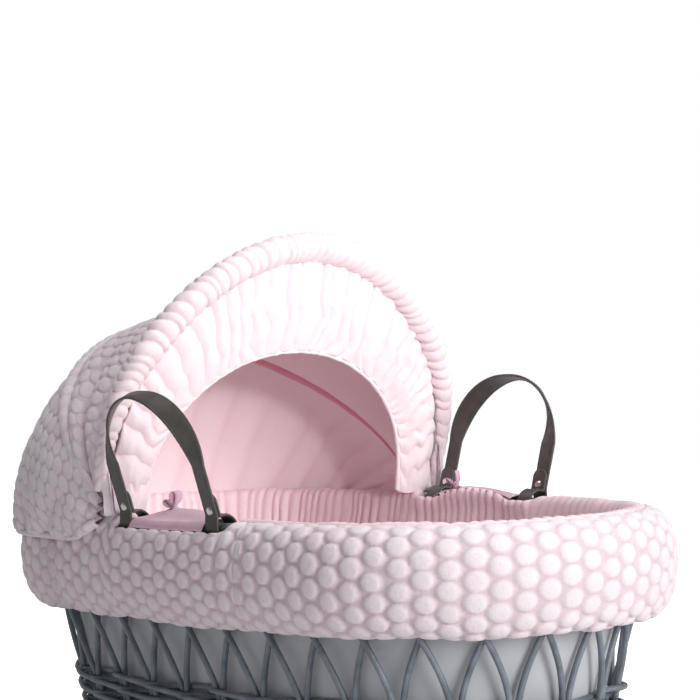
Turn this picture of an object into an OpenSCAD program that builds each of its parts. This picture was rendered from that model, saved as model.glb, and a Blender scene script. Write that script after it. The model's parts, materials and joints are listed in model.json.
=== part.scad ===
// Moses basket: a woven willow basket on a board base, with a padded fabric dressing,
// two strap handles that swing on the rim, and a gathered hood on two folding hoops.
// Millimetres. +X is the foot end, -X the head end, +Z up, and the origin is the centre
// of the base board's underside. "Near" is the -Y side and "far" is the +Y side.

/* [Basket] */
// Half length of the rim, to the middle of the border cane
rim_a = 380; // [370:1:390]
// Half width of the rim, to the middle of the border cane
rim_b = 190; // [188:1:192]
// Radius of the rim's rounded ends
rim_end_r = 175; // [173:1:177]
// Height of the border cane's middle
rim_z = 245; // [243:1:248]
// How far the wall leans out for each millimetre of height
wall_slope = 0.205; // [0.19:0.005:0.22]
// Number of stake pairs round the basket
stake_pairs = 30; // [28:2:32]
// Radius of one willow stake
stake_r = 3; // [2.7:0.1:3]
// Height between one woven row and the next
row_pitch = 8; // [7.6:0.1:8.4]

/* [Base] */
// Thickness of the base board
board_t = 12; // [10:1:14]
// Depth of the mattress
mattress_t = 35; // [25:1:40]

/* [Dressing] */
// How far the padded skirt stands out from the border cane
skirt_out = 27; // [25:1:30]
// Height of the skirt's gathered lower edge
skirt_bottom_z = 155; // [150:1:165]
// Half length of the slot that the handle comes through
slot_half = 90; // [88:1:92]

/* [Handles] */
// Middle of the handles along the basket
handle_x = 15; // [13:1:18]
// Half distance between a handle's feet
handle_half = 74.5; // [73:0.5:75]
// Height of the strap's arch above its hinge line
handle_rise = 131; // [125:1:140]
// Width of the strap
strap_w = 20; // [18:1:20]
// Thickness of the strap
strap_t = 2.4; // [2.2:0.1:2.5]
// How far the handle leans outwards at rest, in degrees
handle_lean = 16; // [12:1:20]

/* [Hood] */
// Place of the hood's pivots along the basket
hood_x = -95; // [-98:1:-95]
// Height of the hood's pivots
hood_z = 262; // [262:1:265]
// Rise of the hoops from the pivots to their crown
hoop_rise = 248; // [240:1:255]
// Radius of the hoop rods
hoop_r = 2.5; // [2:0.1:2.5]
// Lean of the front hoop towards the foot end, in degrees
front_lean = 17; // [15:1:18]
// Lean of the rear hoop towards the head end, in degrees
rear_lean = 49; // [47:1:52]

/* [Hidden] */

$fn = 48;
willow_grey = "slategray";
fleece_pink = "pink";
lining_pink = "lightpink";
leather_grey = "dimgray";

border_r = 8;
// Gap left between pieces that only rest on each other
gap = 0.4;
// Distance of a weaver's middle from the stakes' middle
weaver_off = stake_r * 2 + gap / 2;
weave_rows = 9;
first_row_z = board_t + stake_r + 2;
band_top_z = first_row_z + (weave_rows - 1) * row_pitch + stake_r + 2;
wale_z = [rim_z - 26, rim_z - 19];
// Stakes end under the border cane, and lower where a handle loop turns round it
stake_top_z = rim_z - border_r - 0.15;
stake_low_top_z = rim_z - 13.5;
// Left between two lengths of cane or padding that meet end to end
butt_gap = 0.05;
// Half distance between the two stakes of a pair
pair_half = stake_r + 0.7;

// The rim is an oval of four arcs. The end arcs turn about (+-end_c, 0), the long sides
// about (0, -+side_c). Offsetting the oval keeps all four centres.
end_c = rim_a - rim_end_r;
side_r = (end_c * end_c + rim_b * rim_b - rim_end_r * rim_end_r) / (2 * (rim_b - rim_end_r));
side_c = side_r - rim_b;
join_deg = atan2(side_c, end_c);
end_len = rim_end_r * 2 * join_deg * PI / 180;
side_len = side_r * (180 - 2 * join_deg) * PI / 180;
oval_len = 2 * (end_len + side_len);

// Wall offset from the rim's oval at height z
function wall_d(z) = -(rim_z - z) * wall_slope;

// Point at share s (0 to 1, anticlockwise from the foot end's middle) of an oval offset by d
function oval_point(s, d) =
    let (l = (s - floor(s)) * oval_len)
    l < end_len / 2 ? arc_point([end_c, 0], rim_end_r + d, l / rim_end_r) :
    l < end_len / 2 + side_len
        ? arc_point([0, -side_c], side_r + d, join_rad() + (l - end_len / 2) / side_r) :
    l < end_len * 1.5 + side_len
        ? arc_point([-end_c, 0], rim_end_r + d,
            PI - join_rad() + (l - end_len / 2 - side_len) / rim_end_r) :
    l < end_len * 1.5 + 2 * side_len
        ? arc_point([0, side_c], side_r + d,
            PI + join_rad() + (l - 1.5 * end_len - side_len) / side_r) :
    arc_point([end_c, 0], rim_end_r + d, (l - oval_len) / rim_end_r);
function join_rad() = join_deg * PI / 180;
function arc_point(c, r, rad) =
    [c[0] + r * cos(rad * 180 / PI), c[1] + r * sin(rad * 180 / PI)];
function wall_point(s, d, z) = let (p = oval_point(s, d + wall_d(z))) [p[0], p[1], z];

// Sweeps a profile drawn as (offset from the rim's oval, height) round the oval
module around_oval() {
    for (side = [0, 1]) rotate(side * 180) {
        translate([end_c, 0]) oval_arc(rim_end_r, -join_deg, 2 * join_deg, 96) children();
        translate([0, -side_c]) oval_arc(side_r, join_deg, 180 - 2 * join_deg, 360) children();
    }
}
module oval_arc(r, start, turn, fine) {
    trim = butt_gap / r * 90 / PI;
    rotate(start + trim)
        rotate_extrude(angle = turn - 2 * trim, $fn = fine) translate([r, 0]) children();
}

// The head end's share of the same sweep, behind the hood's pivots
module around_head_end() {
    intersection() {
        around_oval() children();
        translate([hood_x - 500, -500, 0]) cube([500, 1000, 1000]);
    }
}

module oval_plate(d, z, t) {
    translate([0, 0, z]) linear_extrude(t)
        polygon([for (i = [0:119]) oval_point(i / 120, d)]);
}

// Vector helpers and a tube swept along points, with rings square to the path
function unit(v) = v / norm(v);
function path_dir(p, i) =
    unit(p[min(i + 1, len(p) - 1)] - p[max(i - 1, 0)]);
function side_of(t, up) = unit(cross(t, up));
function ring_at(p, i, r, n, up) =
    let (t = path_dir(p, i), a = side_of(t, up), b = cross(t, a))
    [for (k = [0:n - 1]) p[i] + r * (a * cos(k * 360 / n) + b * sin(k * 360 / n))];
function skin_faces(m, n) = concat(
    [[for (k = [0:n - 1]) k]],
    [[for (k = [0:n - 1]) (m - 1) * n + n - 1 - k]],
    [for (i = [0:m - 2]) for (k = [0:n - 1])
        [i * n + k, (i + 1) * n + k, (i + 1) * n + (k + 1) % n, i * n + (k + 1) % n]]);
module skin(rings) {
    n = len(rings[0]);
    polyhedron([for (r = rings) for (p = r) p], skin_faces(len(rings), n), convexity = 6);
}
module tube(p, r, n = 8, up = [0, 0, 1]) {
    skin([for (i = [0:len(p) - 1]) ring_at(p, i, r, n, up)]);
}

// ---------------------------------------------------------------- woven basket

module base_board() {
    color("tan") difference() {
        oval_plate(wall_d(board_t / 2) + 10, 0, board_t);
        for (i = [0:stake_pairs - 1]) for (side = [-1, 1])
            stake_socket(foot_share(i, side));
    }
}

// Share of the oval at a stake's foot; pairs stand wider at the ends, where the wall's
// foot is on a tighter curve than the rim
function foot_share(i, turn) =
    let (s = i / stake_pairs, at_end = abs(oval_point(s, 0)[0]) > end_c ? 1.38 : 1)
    s + turn * pair_half * at_end / oval_len;

// Blind hole that a stake's foot is glued into
stake_foot_z = board_t - 4;
module stake_socket(s) {
    low = wall_point(s, 0, (stake_foot_z + board_t) / 2);
    translate([low[0], low[1], stake_foot_z - 0.5]) cylinder(h = 20, r = stake_r + 0.5, $fn = 24);
}

// One stake: up through the woven band, then leaning one station along to the border.
// turn is the way it leans, off the way it stands out from the wall's middle.
module stake(i, turn, off) {
    foot = foot_share(i, turn);
    head = (i + turn) / stake_pairs - turn * pair_half / oval_len;
    end_x = wall_point(head, 0, rim_z)[0];
    by_loop = min(abs(end_x - handle_x + handle_half), abs(end_x - handle_x - handle_half)) < 20;
    top_z = by_loop ? stake_low_top_z : stake_top_z;
    mid_z = (band_top_z + stake_top_z) / 2;
    path = [
        wall_point(foot, 0, stake_foot_z), wall_point(foot, 0, band_top_z - 4),
        wall_point(foot + (head - foot) * 0.12, off * 0.8, band_top_z + 14),
        wall_point((foot + head) / 2, off, mid_z),
        wall_point(head - (head - foot) * 0.12, off * 0.8, wale_z[0] - 13),
        wall_point(head, 0, wale_z[0] + 2), wall_point(head, 0, top_z)];
    tube(path, stake_r, 6, [cos(foot * 360 + 90), sin(foot * 360 + 90), 0]);
}
module stakes(turn, off) {
    color(willow_grey) for (i = [0:stake_pairs - 1]) stake(i, turn, off);
}

// A strand that runs round the basket outside the stakes, and its partner inside them
module strand_pair(z, r) {
    for (side = [-1, 1])
        around_oval() translate([wall_d(z) + side * weaver_off, z]) circle(r, $fn = 16);
}
// A round of waling: three rows of strands
module weave_round(k) {
    color(willow_grey) for (row = [0:2])
        strand_pair(first_row_z + ((k - 1) * 3 + row) * row_pitch, stake_r);
}
module upper_wale() {
    color(willow_grey) for (z = wale_z) strand_pair(z, stake_r);
}
module top_border() {
    color(willow_grey) around_oval() translate([0, rim_z]) circle(border_r, $fn = 24);
}

// ---------------------------------------------------------------- bedding and dressing

// Space between the stakes' middle and the dressing's inner layers
lining_off = weaver_off + stake_r + gap;
backing_t = 1.2;
wall_t = 8;
liner_low_z = board_t + 0.2;
base_cloth_t = 1.6;

module liner_base() {
    color("white")
        oval_plate(wall_d(liner_low_z) - lining_off - backing_t - wall_t - 0.6, liner_low_z, base_cloth_t);
}
module liner_backing() {
    color("gainsboro") around_oval() polygon([
        [wall_d(liner_low_z) - lining_off, liner_low_z],
        [wall_d(rim_z - 16) - lining_off, rim_z - 16],
        [wall_d(rim_z - 16) - lining_off - backing_t, rim_z - 16],
        [wall_d(liner_low_z) - lining_off - backing_t, liner_low_z]]);
}

// Padded inner wall, rolled over the border cane at the top
module liner_wall() {
    inner = lining_off + backing_t + 0.2;
    color(lining_pink) difference() {
        around_oval() polygon([
            [wall_d(liner_low_z) - inner, liner_low_z],
            [wall_d(rim_z - 15) - inner, rim_z - 15], [-border_r - 2, rim_z - 12],
            [-border_r - 1.5, rim_z + 2], [-border_r + 1, rim_z + 8], [-0.2, rim_z + 10],
            [-0.2, rim_z + 15], [-10, rim_z + 15], [-16, rim_z + 9], [-20, rim_z - 2],
            [wall_d(rim_z - 15) - inner - wall_t, rim_z - 15],
            [wall_d(liner_low_z) - inner - wall_t, liner_low_z]]);
        handle_slots(rim_z + 1);
    }
}

// Room for the handle loops, for the strap to swing over the padding, and for the
// hood's pivots
slot_in = 16;
slot_out = 14.5;
module handle_slots(cut_z) {
    for (side = [0, 1]) mirror([0, side, 0]) {
        translate([handle_x - slot_half, rim_b - slot_in, rim_z - 15])
            cube([2 * slot_half, slot_in + slot_out, 60]);
        translate([handle_x - slot_half, rim_b - 40, cut_z]) cube([2 * slot_half, 80, 60]);
        translate([hood_x - 13, rim_b - 16, rim_z - 15]) cube([26, 32, 60]);
    }
}
module bumper_skirt() {
    face = weaver_off + stake_r + gap + 0.4;
    color(fleece_pink) difference() {
        around_oval() polygon([
            [0.2, rim_z + 10], [border_r + 0.5, rim_z + 7], [border_r + 2.5, rim_z],
            [border_r + 2.5, rim_z - 15], [wall_d(wale_z[0]) + face, wale_z[0] - 5],
            [wall_d(skirt_bottom_z) + face, skirt_bottom_z],
            [wall_d(skirt_bottom_z) + face + 6, skirt_bottom_z],
            [skirt_out * 0.62, skirt_bottom_z + 12], [skirt_out * 0.93, rim_z - 68],
            [skirt_out, rim_z - 46], [skirt_out * 0.93, rim_z - 24],
            [skirt_out * 0.72, rim_z - 4], [skirt_out * 0.4, rim_z + 10], [0.2, rim_z + 15]]);
        handle_slots(rim_z - 5);
    }
}
module skirt_elastic() {
    color("white") around_oval()
        translate([wall_d(skirt_bottom_z) + weaver_off + stake_r + 3, skirt_bottom_z - 2])
            circle(1.5, $fn = 16);
}

// Thin cotton facings on both walls of a handle slot
module slot_facing(side) {
    length = 2 * (slot_half - 3);
    color("thistle") mirror([0, side > 0 ? 0 : 1, 0])
        translate([handle_x - length / 2, rim_b, rim_z - 14]) {
            translate([0, 0.2 - slot_in, 0]) cube([length, 1, 14.6]);
            translate([0, slot_out - 1.2, 0]) cube([length, 1, 8.6]);
        }
}

// Tied bow of flat ribbon, standing on the inner edge of the slot
module ribbon_tie(side) {
    color("thistle") translate([handle_x - 27, side * (rim_b - 20), rim_z + 8]) {
        translate([-3, -2.5, -5]) cube([6, 5, 7]);
        for (turn = [0, 180]) rotate(turn) {
            translate([8, 2.5, 0]) rotate([90, 0, 0]) difference() {
                cylinder(h = 5, r = 6.5, $fn = 32);
                translate([0, 0, -1]) cylinder(h = 7, r = 5.3, $fn = 32);
            }
            translate([1, -1.2, -4]) rotate([0, 6, 0]) cube([17, 2.4, 1]);
        }
    }
}
module mattress() {
    d = wall_d(liner_low_z) - lining_off - backing_t - wall_t - 2.4;
    color("whitesmoke") oval_plate(d, liner_low_z + base_cloth_t + gap, mattress_t);
}

// ---------------------------------------------------------------- handles

handle_y = rim_b - 1.95;
rivet_z = 18;
rivet_r = 2.2;
// Middle of the strap's outer run and of its tail, measured in from the border's middle
outer_run = -7;
tail_run = outer_run + strap_t + 0.4;
tail_top = rivet_z + 16;

// The foot of a strap seen along the rim, as (inwards, up) from the border's middle: from
// the tail's tip down the inner side, round under the border and up the outer side
foot_path = [
    [tail_run, tail_top], [tail_run, tail_top - 6], [tail_run, 13.4], [-2.9, 11.7],
    [2.6, 11.2], [7.4, 7.9], [10.3, 3.3], [10.75, -1.5], [8.9, -6.2], [4.75, -9.75], [0, -10.8],
    [-4.75, -9.75], [-8.9, -6.2], [-10.75, -1.5], [-10.6, 3.5], [-8.7, 9], [outer_run, 13.4],
    [outer_run, 18], [outer_run, 26]];
foot_count = len(foot_path);
arch_foot_z = 62;
arch_steps = 20;

// Cross-section of the strap: corners about m, for the directions of its width and thickness
function band(m, wide, thick, half) =
    [for (c = [[-1, -1], [1, -1], [1, 1], [-1, 1]])
        m + wide * c[0] * half + thick * c[1] * strap_t / 2];
function foot_dir(i) =
    let (d = foot_path[min(i + 1, foot_count - 1)] - foot_path[max(i - 1, 0)]) d / norm(d);
function foot_band(i, x, turn) =
    let (t = foot_dir(i), p = foot_path[i])
    band([x, p[0], p[1]], [turn, 0, 0], [0, t[1], -t[0]],
        i == 0 ? 2.5 : strap_w / 2);

// The strap between its feet turns a quarter, from facing outwards to lying flat at the
// crown, and back again
function arch_mid(a) =
    [-handle_half * cos(a), outer_run,
        arch_foot_z + (handle_rise - arch_foot_z) * sin(a)];
function arch_band(a, w) =
    let (t = [sin(a) * handle_half, 0, cos(a) * (handle_rise - arch_foot_z)], u = t / norm(t),
        wide = [u[2], 0, -u[0]] * cos(w) - [0, 1, 0] * sin(w))
    band(arch_mid(a), wide, cross(u, wide), strap_w / 2);
function arch_turn(q) = 90 * (1 - pow(abs(1 - 2 * q), 1.5));
strap_rings = concat(
    [for (i = [0:foot_count - 1]) foot_band(i, -handle_half, 1)],
    [for (k = [0:arch_steps]) arch_band(180 * k / arch_steps, arch_turn(k / arch_steps))],
    [for (i = [foot_count - 1:-1:0]) foot_band(i, handle_half, -1)]);

module handle_frame(side) {
    translate([handle_x, side * handle_y, rim_z]) rotate([-side * handle_lean, 0, 0])
        mirror([0, side > 0 ? 1 : 0, 0]) children();
}
module handle_strap(side) {
    color(leather_grey) handle_frame(side) difference() {
        skin(strap_rings);
        for (x = [-handle_half, handle_half])
            translate([x, outer_run - 5, rivet_z]) rotate([-90, 0, 0])
                cylinder(h = 12, r = rivet_r + 0.05, $fn = 32);
    }
}
module handle_rivets(side) {
    grip = 2 * strap_t + 0.4;
    color("silver") handle_frame(side) for (x = [-handle_half, handle_half])
        translate([x, outer_run - strap_t / 2, rivet_z]) rotate([-90, 0, 0]) {
            translate([0, 0, -1.3]) cylinder(h = 1.2, r1 = 3.2, r2 = 4.4, $fn = 32);
            translate([0, 0, -0.2]) cylinder(h = grip + 0.4, r = rivet_r, $fn = 32);
            translate([0, 0, grip + 0.1]) cylinder(h = 1.4, r1 = 4.4, r2 = 3, $fn = 32);
        }
}

// ---------------------------------------------------------------- hood frame

bracket_y = rim_b - 2.9;
lug_t = 4;
eye_t = 2 * hoop_r + 0.4;
eye_r = 6.5;
pin_r = 2.4;
// Outer face of the lug, then the two hoop eyes outside it
lug_out = bracket_y + 2;
rear_eye_y = lug_out + gap;
front_eye_y = rear_eye_y + eye_t + gap;

// Saddle clip round the border cane, with a lug that holds the pivot pin
module hood_bracket(side) {
    color("lightgray") mirror([0, side > 0 ? 0 : 1, 0]) difference() {
        union() {
            translate([hood_x, bracket_y, rim_z]) rotate([0, 90, 0])
                cylinder(h = 16, r = border_r + 4.2, center = true);
            translate([hood_x - 7, lug_out - lug_t, rim_z]) cube([14, lug_t, hood_z - rim_z]);
            translate([hood_x, lug_out, hood_z]) rotate([90, 0, 0]) cylinder(h = lug_t, r = 7);
        }
        translate([hood_x, bracket_y, rim_z]) rotate([0, 90, 0])
            cylinder(h = 30, r = border_r + 0.8, center = true);
        translate([hood_x - 15, bracket_y - 6, rim_z - 20]) cube([30, 12, 20]);
        translate([hood_x - 12, lug_out, rim_z + 9.6]) cube([24, 20, 10]);
        translate([hood_x, lug_out + 1, hood_z]) rotate([90, 0, 0])
            cylinder(h = lug_t + 2, r = pin_r + 0.03, $fn = 32);
    }
}
module hood_pivot_pins() {
    pin_end = front_eye_y + eye_t + gap;
    color("silver") for (side = [0, 1]) mirror([0, side, 0])
        translate([hood_x, 0, hood_z]) rotate([-90, 0, 0]) {
            translate([0, 0, lug_out - lug_t - 2.2]) cylinder(h = 2, r = 4.6, $fn = 32);
            translate([0, 0, lug_out - lug_t - 0.4])
                cylinder(h = pin_end - lug_out + lug_t + 0.6, r = pin_r, $fn = 32);
            translate([0, 0, pin_end]) cylinder(h = 1.6, r1 = 4.6, r2 = 3.4, $fn = 32);
        }
}

// A hoop's line in its own plane, u from 0 at the far foot to 1 at the near foot: it
// stands on the pivots, swells past the rim and closes in an arch
hoop_swell = 0.055;
function hoop_line(u, grow, foot) =
    let (a = 180 * u, up = sin(a), h = (hoop_rise + grow) * up)
    [(foot + grow) * cos(a) * (1 + hoop_swell * sin(180 * up)), h];
function leaned(p, lean) =
    [hood_x + p[1] * sin(lean), p[0], hood_z + p[1] * cos(lean)];
function hoop_path(lean, grow, foot, u0, steps) =
    [for (i = [0:steps]) leaned(hoop_line(u0 + (1 - 2 * u0) * i / steps, grow, foot), lean)];
hoop_steps = 26;
front_foot = front_eye_y + eye_t / 2;
rear_foot = rear_eye_y + eye_t / 2;

// The rod stands butted on its two eyes
module hoop(lean, foot) {
    foot_u = asin((eye_r + 0.3) / hoop_rise) / 180;
    tube(hoop_path(lean, 0, foot, foot_u, hoop_steps), hoop_r, 8, [1, 0, 0.01]);
    for (side = [0, 1]) mirror([0, side, 0])
        translate([hood_x, foot, hood_z]) rotate([90, 0, 0]) difference() {
            cylinder(h = eye_t, r = eye_r, center = true, $fn = 40);
            cylinder(h = 12, r = pin_r + 0.06, center = true, $fn = 32);
        }
}
module hood_rear_hoop() { color("silver") hoop(-rear_lean, rear_foot); }
module hood_front_hoop() { color("silver") hoop(front_lean, front_foot); }

// ---------------------------------------------------------------- hood fabric

roll_r = 9;
casing_r = 7;
sleeve_foot_r = 4.6;
sleeve_u = 0.05;

// Gathered tube of fabric that a hoop runs through, slimmer towards its feet
function sleeve_r(i, r) =
    sleeve_foot_r + (r - sleeve_foot_r) * min(1, 1.6 * sin(180 * i / hoop_steps));
module hoop_sleeve(lean, foot, r) {
    path = hoop_path(lean, 0, foot, sleeve_u, hoop_steps);
    rings = concat(
        [for (i = [0:hoop_steps]) ring_at(path, i, sleeve_r(i, r), 8, [1, 0, 0.01])],
        [for (i = [hoop_steps:-1:0]) ring_at(path, i, hoop_r + 0.5, 8, [1, 0, 0.01])]);
    m = len(rings);
    polyhedron([for (q = rings) for (p = q) p],
        [for (i = [0:m - 1]) for (k = [0:7])
            [i * 8 + k, ((i + 1) % m) * 8 + k, ((i + 1) % m) * 8 + (k + 1) % 8, i * 8 + (k + 1) % 8]],
        convexity = 6);
}
module hood_edge_roll() { color(fleece_pink) hoop_sleeve(front_lean, front_foot, roll_r); }
module hood_rear_casing() { color(fleece_pink) hoop_sleeve(-rear_lean, rear_foot, casing_r); }

// A sheet between rows of points, thickened along each point's given normal
function sheet_faces(m, n) =
    let (c = m * n)
    concat(
        [for (i = [0:m - 2]) for (j = [0:n - 2])
            [i * n + j, i * n + j + 1, (i + 1) * n + j + 1, (i + 1) * n + j]],
        [for (i = [0:m - 2]) for (j = [0:n - 2])
            [c + i * n + j, c + (i + 1) * n + j, c + (i + 1) * n + j + 1, c + i * n + j + 1]],
        [for (i = [0:m - 2]) [i * n, (i + 1) * n, c + (i + 1) * n, c + i * n]],
        [for (i = [0:m - 2])
            [i * n + n - 1, c + i * n + n - 1, c + (i + 1) * n + n - 1, (i + 1) * n + n - 1]],
        [for (j = [0:n - 2]) [j, c + j, c + j + 1, j + 1]],
        [for (j = [0:n - 2])
            [(m - 1) * n + j, (m - 1) * n + j + 1, c + (m - 1) * n + j + 1, c + (m - 1) * n + j]]);
module sheet(inner, outer) {
    m = len(inner);
    n = len(inner[0]);
    polyhedron(concat([for (r = inner) for (p = r) p], [for (r = outer) for (p = r) p]),
        sheet_faces(m, n), convexity = 8);
}

fabric_t = 3;
fan_steps = 5;
fan_u0 = 0.06;
function fan_row(lean, grow) =
    [for (i = [0:hoop_steps])
        leaned(hoop_line(fan_u0 + (1 - 2 * fan_u0) * i / hoop_steps, grow, front_foot), lean)];

// Fan of fabric stretched between the two hoops, outside or inside the rods
function fan_rows(grow, from_lean, to_lean) =
    let (a = fan_row(from_lean, grow), b = fan_row(to_lean, grow))
    [for (k = [0:fan_steps]) [for (i = [0:hoop_steps]) a[i] + (b[i] - a[i]) * k / fan_steps]];
module fan(grow, t, from_lean, to_lean) {
    sheet(fan_rows(grow, from_lean, to_lean), fan_rows(grow + t, from_lean, to_lean));
}
module hood_front_panel() {
    color(fleece_pink) fan(roll_r + 3, fabric_t, -rear_lean + 0.3, front_lean - 1);
}
module hood_front_lining() {
    color(lining_pink) fan(-roll_r - 4, 1, -rear_lean + 0.3, front_lean - 6);
}

// Back of the hood: from the rear hoop down to the hem outside the head end's padding
hem_z = rim_z - 10;
hem_d = skirt_out - 2;
back_steps = 6;
function hem_point(i, d, z) =
    let (q = i / hoop_steps, s0 = head_share(), p = oval_point(s0 + (1 - 2 * s0) * q, d))
    [p[0], p[1], z];
// Share of the oval, from the foot end, at which the hem begins beside the pivots
function head_share() =
    (end_len / 2 + side_r * (asin(-(hood_x - 6) / side_r) + 90 - join_deg) * PI / 180) / oval_len;
function back_row(k, grow, d, z) =
    let (q = k / back_steps, bow = sin(180 * q) * 16, top = fan_row(-rear_lean - 0.3, grow))
    [for (i = [0:hoop_steps])
        let (e = sin(180 * i / hoop_steps), in = grow < 0 ? 16 * pow(1 - e, 6) : 0,
            a = top[i], b = hem_point(i, d - in, z), m = a + (b - a) * q)
        m + [-0.6, 0, 0.8] * bow * e];
module hood_back_panel() {
    color(fleece_pink) sheet(
        [for (k = [0:back_steps]) back_row(k, roll_r + 3, hem_d, hem_z)],
        [for (k = [0:back_steps]) back_row(k, roll_r + 3 + fabric_t, hem_d + fabric_t, hem_z)]);
}
module hood_back_lining() {
    color(lining_pink) sheet(
        [for (k = [0:back_steps]) back_row(k, -roll_r - 4, 11, rim_z + 18)],
        [for (k = [0:back_steps]) back_row(k, -roll_r - 3, 12, rim_z + 18)]);
}
module hood_hem_elastic() {
    color("white") around_head_end() translate([hem_d + 1.5, hem_z - 2.4]) circle(1.8, $fn = 16);
}

// Gathered front frill, from the edge roll in to the hood's mouth
mouth_rise = 150;
mouth_half = 158;
visor_steps = 3;
function mouth_line(u) =
    let (a = 180 * u) [mouth_half * cos(a), mouth_rise * pow(sin(a), 0.96)];
function visor_row(k, dx) =
    let (q = k / visor_steps)
    [for (i = [0:hoop_steps])
        let (u = 0.045 + 0.91 * i / hoop_steps,
            a = leaned(hoop_line(u, -roll_r - 1.5, front_foot), front_lean),
            b = leaned(mouth_line(u), front_lean), p = a + (b - a) * q)
        p + [dx, 0, 0]];
module hood_visor() {
    color(fleece_pink) sheet(
        [for (k = [0:visor_steps]) visor_row(k, -2.5)], [for (k = [0:visor_steps]) visor_row(k, 2.5)]);
}
module visor_elastic() {
    color("white") tube([for (i = [0:hoop_steps])
        leaned(mouth_line(0.05 + 0.9 * i / hoop_steps) * 0.975, front_lean)], 1.5, 6, [1, 0, 0.01]);
}

// ---------------------------------------------------------------- drawing

base_board();
stakes(-1, stake_r + 0.45);  // stakes_front
stakes(1, -stake_r - 0.45);  // stakes_back
weave_round(1);  // weave_round_1
weave_round(2);  // weave_round_2
weave_round(3);  // weave_round_3
upper_wale();
top_border();
liner_base();
liner_backing();
liner_wall();
mattress();
bumper_skirt();
skirt_elastic();
slot_facing(-1);  // slot_facing_near
slot_facing(1);  // slot_facing_far
ribbon_tie(-1);  // ribbon_tie_near
ribbon_tie(1);  // ribbon_tie_far
handle_strap(-1);  // handle_strap_near
handle_strap(1);  // handle_strap_far
handle_rivets(-1);  // handle_rivets_near
handle_rivets(1);  // handle_rivets_far
hood_bracket(-1);  // hood_bracket_near
hood_bracket(1);  // hood_bracket_far
hood_pivot_pins();
hood_rear_hoop();
hood_front_hoop();
hood_rear_casing();
hood_edge_roll();
hood_visor();
visor_elastic();
hood_front_panel();
hood_front_lining();
hood_back_panel();
hood_back_lining();
hood_hem_elastic();
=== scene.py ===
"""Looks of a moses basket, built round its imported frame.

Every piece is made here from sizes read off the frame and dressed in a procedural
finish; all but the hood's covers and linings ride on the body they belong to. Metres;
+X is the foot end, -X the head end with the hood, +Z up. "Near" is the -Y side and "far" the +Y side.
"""

from __future__ import annotations

import json
import logging
import math
from dataclasses import dataclass, field
from enum import Enum
from typing import Sequence

import bpy
import bmesh
import numpy as np
from mathutils import Matrix, Vector


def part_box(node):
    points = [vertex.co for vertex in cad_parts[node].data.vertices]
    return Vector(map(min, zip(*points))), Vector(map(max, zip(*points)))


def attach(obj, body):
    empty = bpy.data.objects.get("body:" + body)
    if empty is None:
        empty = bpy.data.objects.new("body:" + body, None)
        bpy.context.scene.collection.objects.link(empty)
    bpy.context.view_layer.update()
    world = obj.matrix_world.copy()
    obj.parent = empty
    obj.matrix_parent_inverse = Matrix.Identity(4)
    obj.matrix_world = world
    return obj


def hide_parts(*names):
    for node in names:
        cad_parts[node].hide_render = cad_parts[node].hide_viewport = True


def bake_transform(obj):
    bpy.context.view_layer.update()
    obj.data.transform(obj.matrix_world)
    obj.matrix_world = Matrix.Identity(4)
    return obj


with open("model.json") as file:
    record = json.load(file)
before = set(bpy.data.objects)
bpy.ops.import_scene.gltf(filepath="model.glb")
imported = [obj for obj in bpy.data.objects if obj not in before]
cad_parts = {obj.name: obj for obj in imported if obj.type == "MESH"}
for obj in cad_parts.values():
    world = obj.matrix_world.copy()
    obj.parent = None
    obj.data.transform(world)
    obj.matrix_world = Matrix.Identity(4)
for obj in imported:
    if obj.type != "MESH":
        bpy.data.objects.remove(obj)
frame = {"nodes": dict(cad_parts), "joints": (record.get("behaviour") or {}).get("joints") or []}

LOG = logging.getLogger("moses_basket")
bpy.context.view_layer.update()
MM = 0.001
Array = np.ndarray


class Side(Enum):
    """Which long side of the basket a piece belongs to."""

    NEAR = -1
    FAR = 1


class Body(Enum):
    """The moving bodies that pieces ride on."""

    BASKET = "basket"
    HANDLE_NEAR = "handle_near"
    HANDLE_FAR = "handle_far"
    HOOD_REAR = "hood_rear_frame"
    HOOD_FRONT = "hood_front_frame"


# ------------------------------------------------------------------ small maths


def smoothstep(t: Array) -> Array:
    """Eases t from 0 to 1, clipped outside that range."""
    t = np.clip(t, 0.0, 1.0)
    return t * t * (3 - 2 * t)


def hashed(k: Array, j: Array, salt: float = 0.0) -> Array:
    """A repeatable value from 0 to 1 for each pair of whole numbers."""
    return np.mod(np.sin(k * 12.9898 + j * 78.233 + salt * 37.719) * 43758.5453, 1.0)


def wander(x: Array, pitch: float, salt: float) -> Array:
    """A smooth one-dimensional noise from -1 to 1.

    Args:
        x: where to read it.
        pitch: distance between its knots.
        salt: which noise it is.

    Returns:
        The noise at each x.
    """
    t = np.asarray(x, float) / pitch
    k = np.floor(t)
    f = smoothstep(t - k)
    a, b = hashed(k, k * 0 + 1, salt), hashed(k + 1, k * 0 + 1, salt)
    return 2 * (a * (1 - f) + b * f) - 1


def wander2(x: Array, y: Array, pitch: float, salt: float) -> Array:
    """A smooth two-dimensional noise from -1 to 1, read at x and y."""
    tx, ty = np.asarray(x, float) / pitch, np.asarray(y, float) / pitch
    kx, ky = np.floor(tx), np.floor(ty)
    fx, fy = smoothstep(tx - kx), smoothstep(ty - ky)
    low = hashed(kx, ky, salt) * (1 - fx) + hashed(kx + 1, ky, salt) * fx
    high = hashed(kx, ky + 1, salt) * (1 - fx) + hashed(kx + 1, ky + 1, salt) * fx
    return 2 * (low * (1 - fy) + high * fy) - 1


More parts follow.
